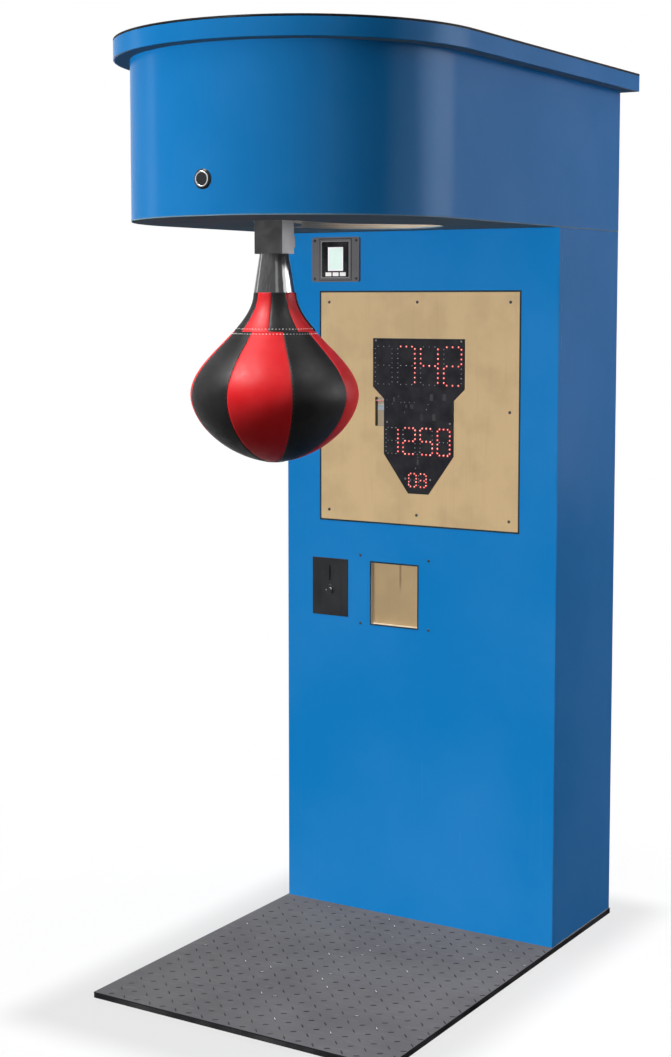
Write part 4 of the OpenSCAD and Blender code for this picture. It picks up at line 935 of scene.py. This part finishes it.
class Ball:
    """The ball's outline: shoulders from the neck down to the equator, and a bowl under it."""

    COUNT = 8
    # Height of the puckers in the leather, and how far from a seam they die out.
    PUCKER = 0.5 * MM
    PUCKER_REACH = 14 * MM

    def __init__(self):
        self.sizes = settings().ball
        low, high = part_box("ball_red_panels")
        bladder_low, bladder_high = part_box("ball_bladder")
        self.centre = (low + high) / 2
        self.radius = (high.x - low.x) / 2
        self.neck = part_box("neck_sleeve")[1].x
        self.top = bladder_high.z
        self.tip = bladder_low.z - self.sizes.skin

    def shoulder(self, height):
        share = (height - self.sizes.equator) / (self.top - self.sizes.equator)
        return self.neck + (self.radius - self.neck) * (1 + cos(pi * share)) / 2

    def line(self, high, low, inset=0.0):
        """Points of (radius, height) down the outline between two heights, or to the tip when low is None."""
        equator = self.sizes.equator
        steps = 160
        end = max(equator, low or 0.0)
        heights = [high + (end - high) * k / steps for k in range(steps + 1)]
        points = [Vector((self.shoulder(height), height)) for height in heights]
        if low is None:
            power = 2 / self.sizes.bowl_power
            for k in range(1, steps * 2 + 1):
                angle = pi / 2 * k / (steps * 2)
                points.append(Vector((self.radius * max(cos(angle), 0.0) ** power,
                                      equator - (equator - self.tip) * sin(angle) ** power)))
        if inset:
            points = [p - n * inset for p, n in zip(points, outward_of(points))]
        return points

    def place(self, radius, height, angle):
        return Vector((self.centre.x + radius * sin(angle), self.centre.y - radius * cos(angle), height))

    def normal(self, point, out, angle):
        """The direction away from the leather at a point of the outline, turned to an angle."""
        return (self.place(*(point + out), angle) - self.place(*point, angle)).normalized()

    def relief(self, side, width, end):
        """How far the leather stands out, from its distances to the seam beside it and to the panel's end."""
        sizes = self.sizes
        middle = 1 - side / max(width, 0.1 * MM)
        seams = exp(-(side / sizes.seam_width) ** 2) + exp(-(end / sizes.seam_width) ** 2)
        return sizes.crown * (1 - middle * middle) - sizes.seam_depth * min(seams, 1.0)

    def add_panel(self, mesh, line, middle, half, seed):
        """One panel, which swells in its middle, dips into the seams round it and puckers beside them."""
        lengths = lengths_of(line)
        rows = []
        for point, out, gone in zip(line, outward_of(line), lengths):
            width = half * point.x
            end = min(gone, lengths[-1] - gone)
            row = []
            for side, hand in across_panel(width):
                angle = middle + hand * (width - side) / point.x
                pucker = noise.noise(Vector((angle * 22, gone * 90, seed))) * self.PUCKER
                pucker *= exp(-side / self.PUCKER_REACH)
                spot = point + out * (self.relief(side, width, end) + pucker)
                row.append(mesh.verts.new(self.place(spot.x, spot.y, angle)))
            rows.append(row)
        for upper, lower in zip(rows, rows[1:]):
            for k in range(len(upper) - 1):
                mesh.faces.new([upper[k], upper[k + 1], lower[k + 1], lower[k]])

    def add_stitches(self, mesh, line, seam, aside):
        """Fine stitches down a line of the ball, a distance beside a seam."""
        start, end, pitch, long = 10 * MM, 4 * MM, 5 * MM, 2.4 * MM
        radius = self.sizes.thread_radius * 0.45
        outward = outward_of(line)
        lengths = lengths_of(line)
        gone = start
        k = 1
        while gone < lengths[-1] - end:
            while lengths[k] < gone:
                k += 1
            point, before = line[k], line[k - 1]
            angle = seam + aside / point.x
            here = self.place(*point, angle)
            along = (here - self.place(*before, seam + aside / before.x)).normalized()
            add_stitch(mesh, here, along, self.normal(point, outward[k], angle), long, radius)
            gone += pitch


def outward_of(points):
    """Unit vectors square to a line of (radius, height) points, away from the axis."""
    result = []
    for k in range(len(points)):
        along = (points[min(k + 1, len(points) - 1)] - points[max(k - 1, 0)]).normalized()
        result.append(Vector((-along.y, along.x)))
    return result


def lengths_of(points):
    """Distance along a line to each of its points."""
    result = [0.0]
    for before, after in zip(points, points[1:]):
        result.append(result[-1] + (after - before).length)
    return result


# Distances from a seam at which the leather has points, and the most that each may be as a share of half a
# panel's width.
NEAR_SEAM = (0.0, 0.8 * MM, 1.8 * MM, 3.2 * MM, 5.5 * MM)
NEAR_SHARES = (0.0, 0.06, 0.13, 0.22, 0.34)


def resample(points, count):
    """Points at even distances along a line, and closer together near its two ends."""
    lengths = lengths_of(points)
    whole, last = lengths[-1], NEAR_SEAM[-1]
    goals = list(NEAR_SEAM)
    goals += [last + (whole - 2 * last) * k / count for k in range(1, count)]
    goals += [whole - d for d in reversed(NEAR_SEAM)]
    result = []
    k = 0
    for goal in goals:
        while k < len(points) - 2 and lengths[k + 1] < goal:
            k += 1
        result.append(points[k].lerp(points[k + 1], (goal - lengths[k]) / (lengths[k + 1] - lengths[k])))
    return result


def across_panel(width):
    """Distances from the nearer seam across a panel, with -1 for its left half and 1 for its right half."""
    near = [min(d, width * s) for d, s in zip(NEAR_SEAM, NEAR_SHARES)]
    half = near + [near[-1] + (width - near[-1]) * s for s in (0.25, 0.5, 0.75)]
    return [(d, -1) for d in half] + [(width, 1)] + [(d, 1) for d in reversed(half)]


def add_stitch(mesh, place, along, normal, long, radius):
    """A short thread that comes out of the leather, lies on it and goes back in."""
    side = along.cross(normal)
    rings = []
    for k in range(5):
        share = k / 4
        rise = sin(pi * share)
        centre = place + along * (share - 0.5) * long + normal * radius * (1.3 * rise - 0.7)
        size = radius * (0.6 + 0.4 * rise)
        rings.append([mesh.verts.new(centre + (side * x + normal * y) * size) for x, y in circle(6)])
    bridge(mesh, rings)
    mesh.faces.new(rings[0])
    mesh.faces.new(rings[-1])


class BOXING_OT_ball(bpy.types.Operator):
    """Sew the ball's leather panels, its stitched ring and its tip patch"""

    bl_idname = "boxing.ball"
    bl_label = "Leather ball"

    # Where the panels end under the patch at the tip, and the patch's radius.
    PANEL_END = 16 * MM
    PATCH = 20 * MM
    # Distance of the fine stitches from a seam.
    BESIDE_SEAM = 2.6 * MM

    def execute(self, context):
        ball = Ball()
        sizes = ball.sizes
        step = 2 * pi / ball.COUNT
        upper = resample(ball.line(ball.top, sizes.ring_height), 12)
        lower = resample(ball.line(sizes.ring_height, None), 40)
        end = next(k for k, p in enumerate(lower) if p.y < sizes.equator and p.x < self.PANEL_END)
        lower = lower[:end + 1]
        for colour_name, first in (("red", 0), ("black", 1)):
            mesh = bmesh.new()
            for k in range(first, ball.COUNT, 2):
                ball.add_panel(mesh, lower, (k + 0.5) * step + sizes.turn, step / 2, k)
                ball.add_panel(mesh, upper, k * step + 4 * sizes.turn, step / 2, k + 20)
            piece = add_piece(f"ball_{colour_name}_leather", mesh, "ball_arm", f"leather_{colour_name}",
                              [f"{colour_name}_leather"])
            shell = piece.modifiers.new("thickness", "SOLIDIFY")
            shell.thickness = sizes.skin - 0.4 * MM
            shell.offset = -1.0
            apply_modifiers(piece)
            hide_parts(f"ball_{colour_name}_panels")
        self.add_ring_stitches(ball)
        self.add_seam_stitches(ball, step, lower, upper)
        self.add_patch(ball)
        self.add_bladder(ball)
        return {"FINISHED"}

    def add_ring_stitches(self, ball):
        sizes = ball.sizes
        mesh = bmesh.new()
        for direction in (1, -1):
            height = sizes.ring_height + direction * sizes.ring_half
            line = ball.line(height + MM, height - MM)
            middle = len(line) // 2
            point, out = line[middle], outward_of(line)[middle]
            count = round(2 * pi * point.x / sizes.stitch_pitch)
            for k in range(count):
                angle = 2 * pi * k / count
                here = ball.place(*(point + out * sizes.crown * 0.35), angle)
                add_stitch(mesh, here, Vector((cos(angle), sin(angle), 0)), ball.normal(point, out, angle),
                           sizes.stitch_length, sizes.thread_radius)
        add_piece("ball_ring_stitches", mesh, "ball_arm", "leather_black", ["thread"])

    def add_seam_stitches(self, ball, step, lower, upper):
        """Fine dark stitches on the black side of each seam."""
        mesh = bmesh.new()
        for line, turn, swap, twist in ((lower, 0.0, 1, 1), (upper, 0.5, -1, 4)):
            for k in range(ball.COUNT):
                towards_black = swap if k % 2 == 1 else -swap
                seam = (k + turn) * step + twist * ball.sizes.turn
                ball.add_stitches(mesh, line, seam, towards_black * self.BESIDE_SEAM)
        add_piece("ball_seam_stitches", mesh, "ball_arm", "leather_black", ["dark_thread"])

    def add_patch(self, ball):
        """Round patch that covers the point where the panels meet."""
        thick = 1.0 * MM
        line = [p for p in ball.line(ball.sizes.equator, None) if p.x < self.PATCH]
        profile = [(0.0, line[-1].y + 2 * thick), (line[0].x, line[0].y + thick)]
        profile += [tuple(p + n * thick) for p, n in zip(line[::4], outward_of(line)[::4])]
        profile.append((0.0, line[-1].y - thick))
        self.turn_on_axis("ball_tip_patch", ball, profile, 40, "leather_black", "black_leather")

    def add_bladder(self, ball):
        """Rubber bladder with its mould line and the thick neck round the sleeve's rod."""
        gap, rod, neck, mould_line = 1.8 * MM, 8 * MM, 60 * MM, 0.5 * MM
        line = ball.line(ball.top - 0.5 * MM, None, ball.sizes.skin + gap)
        line = [p for p in resample(line, 48) if p.x > 0.5 * MM]
        profile = [(rod, line[0].y - neck), (rod, line[0].y)]
        for point in line:
            rise = mould_line * exp(-((point.y - ball.sizes.equator) / (1.5 * MM)) ** 2)
            profile.append((point.x + rise, point.y))
        profile.append((0.0, line[-1].y))
        piece = self.turn_on_axis("ball_rubber_bladder", ball, profile, 48, "rubber", "rubber")
        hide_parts("ball_bladder")

    def turn_on_axis(self, name, ball, profile, segments, slot, material):
        mesh = bmesh.new()
        lathe(mesh, profile, (ball.centre.x, ball.centre.y, 0.0), (0, 0, 1), segments)
        return add_piece(name, mesh, "ball_arm", slot, [material])


class BOXING_OT_arm(bpy.types.Operator):
    """Finish the arm, its bushes and the neck sleeve"""

    bl_idname = "boxing.arm"
    bl_label = "Arm and neck sleeve"

    PARTS = {
        "arm_tube": (1.0, "arm_paint"), "neck_sleeve": (0.4, "sleeve_steel"), "arm_bushes": (0.3, "bronze"),
    }

    def execute(self, context):
        dress_all(self.PARTS)
        return {"FINISHED"}


class BOXING_OT_display(bpy.types.Operator):
    """Finish the display board and fit its small parts and its lights"""

    bl_idname = "boxing.display"
    bl_label = "Display"

    # Chips as x, height under the board's top edge, width and height, in millimetres.
    CHIPS = ((41.8, 136.1, 10, 15), (75.3, 135.1, 10, 15), (14.7, 183.5, 8, 15), (48.5, 182.3, 10, 15),
             (-58.7, 143.2, 5, 11), (-11.3, 158.8, 9, 10), (-26.0, 158.4, 6, 6), (5.5, 288.0, 5, 12))
    # Solder joints as x and height under the board's top edge, in millimetres.
    JOINTS = ((-40.7, 149.8), (-30.9, 149.5), (-17.8, 149.1), (-4.9, 148.7), (-78.5, 145.1), (-78.4, 162.3),
              (-63.6, 153.3), (-47.3, 135.7), (32.3, 152.7), (27.5, 164.7), (-30.8, 172.2), (3.8, 270.4),
              (5.5, 277.4), (-0.9, 303.4))
    # For each kind of light its finish, and the radius of its bright core as a share of its own.
    LIGHTS = {"lit_leds": ("led_red", 0.32), "dark_leds": ("led_clear", 0.5)}
    # The plug of the cable: left of this x, between these heights.
    PLUG_X = -83 * MM
    PLUG_Z = (1.230, 1.248)

    def execute(self, context):
        dress("display_board", 0.3 * MM, "display_black")
        dress("display_cable", 0.0, self.cable_finish())
        low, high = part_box("display_board")
        self.add_parts(low.y, high.z)
        for node, (slot, core_share) in self.LIGHTS.items():
            self.add_lights(node, slot, low.y, core_share)
        return {"FINISHED"}

    def add_parts(self, face, top):
        """Chips with their legs, and solder joints."""
        stand, gap, pitch, half_leg = 1.7 * MM, 0.2 * MM, 2.5 * MM, 0.4 * MM
        mesh = bmesh.new()
        for x, drop, wide, tall in self.CHIPS:
            x, z, wide, tall = x * MM, top - drop * MM, wide * MM, tall * MM
            half = wide * 0.36
            block(mesh, (x - half, face - stand, z - tall / 2), (x + half, face - gap, z + tall / 2),
                  rounding=0.2 * MM)
            legs = max(2, int(tall / pitch))
            for k in range(legs):
                leg = z - tall / 2 + tall * (k + 0.5) / legs
                block(mesh, (x - wide / 2, face - 0.7 * MM, leg - half_leg),
                      (x + wide / 2, face + 0.1 * MM, leg + half_leg), 0.0, 1)
        drop_of_solder = [(1.1 * MM, -0.1 * MM), (1.0 * MM, 0.2 * MM), (0.5 * MM, 0.7 * MM), (0.0, 0.9 * MM)]
        for x, drop in self.JOINTS:
            lathe(mesh, drop_of_solder, (x * MM, face, top - drop * MM), (0, -1, 0), 10, 2)
        add_piece("display_parts", mesh, "cabinet", "display_black", ["chip", "tinned_legs", "solder"],
                  smooth=False)

    def add_lights(self, node, slot, face, core_share):
        """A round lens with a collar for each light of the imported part."""
        mesh = bmesh.new()
        for low, high in solids(node):
            place = ((low.x + high.x) / 2, face, (low.z + high.z) / 2)
            radius = (high.x - low.x) / 2
            deep = high.y - low.y
            core = radius * core_share
            collar = [(radius, 0.0), (radius, 0.3 * deep), (1.04 * core, 0.4 * deep)]
            lens = [(core, 0.3 * deep), (core, 0.6 * deep), (0.6 * core, 0.9 * deep), (0.0, deep)]
            for material, profile in enumerate((collar, lens)):
                lathe(mesh, profile, place, (0, -1, 0), 14, material)
        piece = add_piece(node.replace("leds", "lenses"), mesh, "cabinet", slot, [slot + "_collar", slot])
        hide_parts(node)

    def cable_finish(self):
        """Red cable, with the grey plug in the pocket told apart by its place."""
        finish = Finish("cable_red", specular_ior_level=0.3)
        across, _, up = finish.split()[0:3]
        plug = finish.times(finish.math("LESS_THAN", across, self.PLUG_X),
                            finish.math("LESS_THAN", up, self.PLUG_Z[1]))
        plug = finish.times(plug, finish.math("GREATER_THAN", up, self.PLUG_Z[0]))
        patches = finish.range(finish.noise(60.0, 3.0), 0.3, 0.7)
        red = finish.mix(patches, srgb(150, 22, 22), srgb(172, 32, 30))
        grey = finish.mix(patches, srgb(136, 148, 158), srgb(164, 174, 182))
        finish.set(base_color=finish.mix(plug, red, grey),
                   roughness=finish.range(patches, 0.0, 1.0, 0.35, 0.5))
        finish.bump(finish.noise(900.0, 2.0), 0.2, 0.05 * MM)
        return finish.material


class BOXING_OT_terminal(bpy.types.Operator):
    """Finish the card terminal, with painted shade round the foot of its rim and a painted highlight round
    its face
    """

    bl_idname = "boxing.terminal"
    bl_label = "Card terminal"

    # Distance of the raised rim from the housing's edge, and how far its foot lies behind its front.
    RIM_IN = Vector((22.5, 0.0, 5.0)) * MM
    RIM_DEEP = 1.0 * MM
    # Widths of the painted shade round the rim's foot and of the painted highlight round the face.
    RIM_SHADE = 1.6 * MM
    FACE_HIGHLIGHT = 1.7 * MM
    SCREEN_BORDER = 2.6 * MM

    def execute(self, context):
        # The housing's rounded edges carry a painted highlight.
        dress("terminal_housing", 0.9 * MM, "terminal_grey", "terminal_edge_highlight")
        dress("terminal_face", 0.4 * MM, "gloss_black")
        dress("terminal_screen", 0.0, self.screen_finish())
        dress("terminal_pads", 0.2 * MM, "pad_white")
        mesh = bmesh.new()
        low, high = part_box("terminal_housing")
        foot = low.y + self.RIM_DEEP
        # A dark strip of painted shade round the foot of the rim, and a pale strip of painted highlight round
        # the face.
        add_frame(mesh, low + self.RIM_IN, high - self.RIM_IN, foot, self.RIM_SHADE, 0.15 * MM, 0)
        add_frame(mesh, *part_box("terminal_face"), low.y, self.FACE_HIGHLIGHT, 0.2 * MM, 1)
        add_piece("terminal_shade_and_highlight_lines", mesh, "cabinet", "terminal_grey", ["terminal_rim_shade", "terminal_face_highlight"],
                  smooth=False)
        return {"FINISHED"}

    def screen_finish(self):
        """Pale screen with a white border, lit from behind."""
        low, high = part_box("terminal_screen")
        centre = (low + high) / 2
        half = (high - low) / 2
        finish = Finish("screen_mint", roughness=0.15, specular_ior_level=0.4, emission_strength=0.1)
        across, _, up = finish.split()[0:3]
        inside = finish.times(
            finish.math("LESS_THAN", finish.off(across, centre.x), half.x - self.SCREEN_BORDER),
            finish.math("LESS_THAN", finish.off(up, centre.z), half.z - self.SCREEN_BORDER))
        pale = finish.shades(finish.noise(30.0, 2.0), 0.3, 0.7, tint("screen"), 0.0, -0.03)
        tone = finish.mix(inside, (0.97, 0.97, 0.97), pale)
        finish.set(base_color=tone, emission_color=tone)
        finish.bump(finish.noise(1500.0, 1.0), 0.02, 0.02 * MM)
        return finish.material


class BOXING_OT_coin_plate(bpy.types.Operator):
    """Finish the coin plate and its return button, with a painted highlight on the button's rim"""

    bl_idname = "boxing.coin_plate"
    bl_label = "Coin plate"

    # Painted highlight on the rim of the return button: from and to, in degrees, and radius of its bright
    # band.
    HIGHLIGHT_ARCS = ((-12, 98, 1.0 * MM), (166, 192, 1.2 * MM))
    # Distance of the painted highlight from the edge of the button's flange.
    HIGHLIGHT_IN = 2.0 * MM

    def execute(self, context):
        dress("coin_plate", 0.6 * MM, "black_plastic")
        dress("coin_return_button", 0.8 * MM, "gloss_black", segments=3)
        low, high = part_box("coin_return_button")
        radius = (high.x - low.x) / 2 - self.HIGHLIGHT_IN
        mesh = bmesh.new()
        for first, last, thick in self.HIGHLIGHT_ARCS:
            centre = Vector(((low.x + high.x) / 2, low.y + 0.6 * thick, (low.z + high.z) / 2))
            self.add_arc(mesh, centre, radius, radians(first), radians(last), thick)
        add_piece("coin_return_highlight", mesh, "coin_return", "black_plastic", ["highlight_rim"])
        return {"FINISHED"}

    def add_arc(self, mesh, centre, radius, first, last, thick):
        """A pale bead of painted highlight along part of the button's rim that tapers to its ends."""
        count = 18
        rings = []
        for k in range(count + 1):
            angle = first + (last - first) * k / count
            out = Vector((cos(angle), 0.0, sin(angle)))
            size = thick * max(0.15, sin(pi * k / count))
            rings.append([mesh.verts.new(centre + out * radius + (out * x + Vector((0.0, y, 0.0))) * size)
                          for x, y in circle(8)])
        bridge(mesh, rings)
        mesh.faces.new(rings[0][::-1])
        mesh.faces.new(rings[-1])


class BOXING_OT_start_button(bpy.types.Operator):
    """Finish the start button on the nose"""

    bl_idname = "boxing.start_button"
    bl_label = "Start button"

    PARTS = {
        "start_button_bezel": (0.5, "gloss_black"), "start_button_ring": (0.5, "polished_steel"),
        "start_button_cap": (0.5, "black_plastic"),
    }

    def execute(self, context):
        dress_all(self.PARTS, segments=3)
        return {"FINISHED"}


class BOXING_OT_screws(bpy.types.Operator):
    """Fit domed screws with a cross recess in the front's boards"""

    bl_idname = "boxing.screws"
    bl_label = "Front screws"

    # Thickness of a head and radius of its shank.
    HEAD_DEEP = 1.4 * MM
    SHANK = 1.8 * MM
    # Size of the bright screws on the display, as a share of the others.
    SMALL = 0.62

    def execute(self, context):
        boxes = solids("front_screws")
        head = self.make_head(min(high.x - low.x for low, high in boxes) / 2)
        board_low, board_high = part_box("display_board")
        mesh = bmesh.new()
        for low, high in boxes:
            x, z, deep = (low.x + high.x) / 2, (low.z + high.z) / 2, high.y - low.y
            bright = board_low.x < x < board_high.x and board_low.z < z < board_high.z
            copy = head.copy()
            copy.transform(Matrix.Translation((x, low.y, z)) @ Matrix.Scale(self.SMALL if bright else 1.0, 4))
            copy.polygons.foreach_set("material_index", [int(bright)] * len(copy.polygons))
            mesh.from_mesh(copy)
            bpy.data.meshes.remove(copy)
            shank = [(self.SHANK, self.HEAD_DEEP), (self.SHANK, deep - 2 * MM), (0.0, deep)]
            lathe(mesh, shank, (x, low.y, z), (0, 1, 0), 10)
        bpy.data.meshes.remove(head)
        piece = add_piece("front_screw_heads", mesh, "cabinet", "dark_screw", ["dark_screw", "zinc_screw"],
                          smooth=False)
        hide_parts("front_screws")
        return {"FINISHED"}

    def make_head(self, radius):
        """One domed head at the origin, which faces -Y, as a mesh."""
        deep = self.HEAD_DEEP
        mesh = bmesh.new()
        lathe(mesh, [(0.0, deep), (radius, deep), (radius, 0.62 * deep), (0.86 * radius, 0.3 * deep),
                     (0.6 * radius, 0.1 * deep), (0.0, 0.0)], (0, 0, 0), (0, 1, 0), 20)
        bmesh.ops.recalc_face_normals(mesh, faces=mesh.faces)
        head = new_object("screw_head", to_mesh("screw_head", mesh))
        long, narrow = 0.62 * radius, 0.45 * MM
        for x, z in ((long, narrow), (narrow, long)):
            cutter = bmesh.new()
            block(cutter, (-x, -deep, -z), (x, 0.66 * deep, z))
            carve(head, cutter)
        result = head.data
        bpy.data.objects.remove(head)
        return result


class BOXING_OT_rear(bpy.types.Operator):
    """Finish the hinges, the lock and the power inlet at the back"""

    bl_idname = "boxing.rear"
    bl_label = "Rear fittings"

    PARTS = {
        "door_hinge_fixed_leaves": (0.3, "steel"), "door_hinge_door_leaves": (0.3, "steel"),
        "door_lock_barrel": (0.3, "steel"), "door_lock_cam": (0.3, "steel"),
        "power_inlet": (0.5, "black_plastic"),
    }

    def execute(self, context):
        dress_all(self.PARTS)
        return {"FINISHED"}


class BOXING_OT_insides(bpy.types.Operator):
    """Finish what is inside the cabinet and the head"""

    bl_idname = "boxing.insides"
    bl_label = "Inside parts"

    PARTS = {node: (0.3, material) for material, nodes in {
        "steel": ("frame_bolts", "hinge_plates", "stop_bar", "latch_hook", "coin_chute"),
        "polished_steel": ("hinge_pins", "latch_spring", "latch_plunger"),
        "rubber": ("rubber_bumpers",),
        "black_plastic": ("speed_sensor", "latch_solenoid", "coin_mech"),
        "grey_sheet": ("cash_box", "power_supply"),
        "circuit_green": ("controller_board",),
    }.items() for node in nodes}

    def execute(self, context):
        dress_all(self.PARTS)
        return {"FINISHED"}


GROUPS = (MachineColours, BallSizes, TreadSizes, BoardSizes, StudioSettings, MachineSettings)
OPERATORS = (
    BOXING_OT_studio, BOXING_OT_boards, BOXING_OT_openings, BOXING_OT_plywood, BOXING_OT_platform,
    BOXING_OT_head, BOXING_OT_ball, BOXING_OT_arm, BOXING_OT_display, BOXING_OT_terminal,
    BOXING_OT_coin_plate, BOXING_OT_start_button, BOXING_OT_screws, BOXING_OT_rear, BOXING_OT_insides,
)


class BOXING_PT_machine(bpy.types.Panel):
    """Lists the operators that dress the machine."""

    bl_label = "Boxing machine"
    bl_idname = "BOXING_PT_machine"
    bl_space_type = "VIEW_3D"
    bl_region_type = "UI"
    bl_category = "Boxing machine"

    def draw(self, context):
        column = self.layout.column(align=True)
        for operator in OPERATORS:
            column.operator(operator.bl_idname)


def register():
    for item in (*GROUPS, *OPERATORS, BOXING_PT_machine):
        bpy.utils.register_class(item)
    bpy.types.Scene.boxing_machine = PointerProperty(type=MachineSettings)


def unregister():
    del bpy.types.Scene.boxing_machine
    for item in reversed((*GROUPS, *OPERATORS, BOXING_PT_machine)):
        bpy.utils.unregister_class(item)


def main():
    register()
    for operator in OPERATORS:
        group, name = operator.bl_idname.split(".")
        getattr(getattr(bpy.ops, group), name)()


if __name__ == "__main__":
    main()
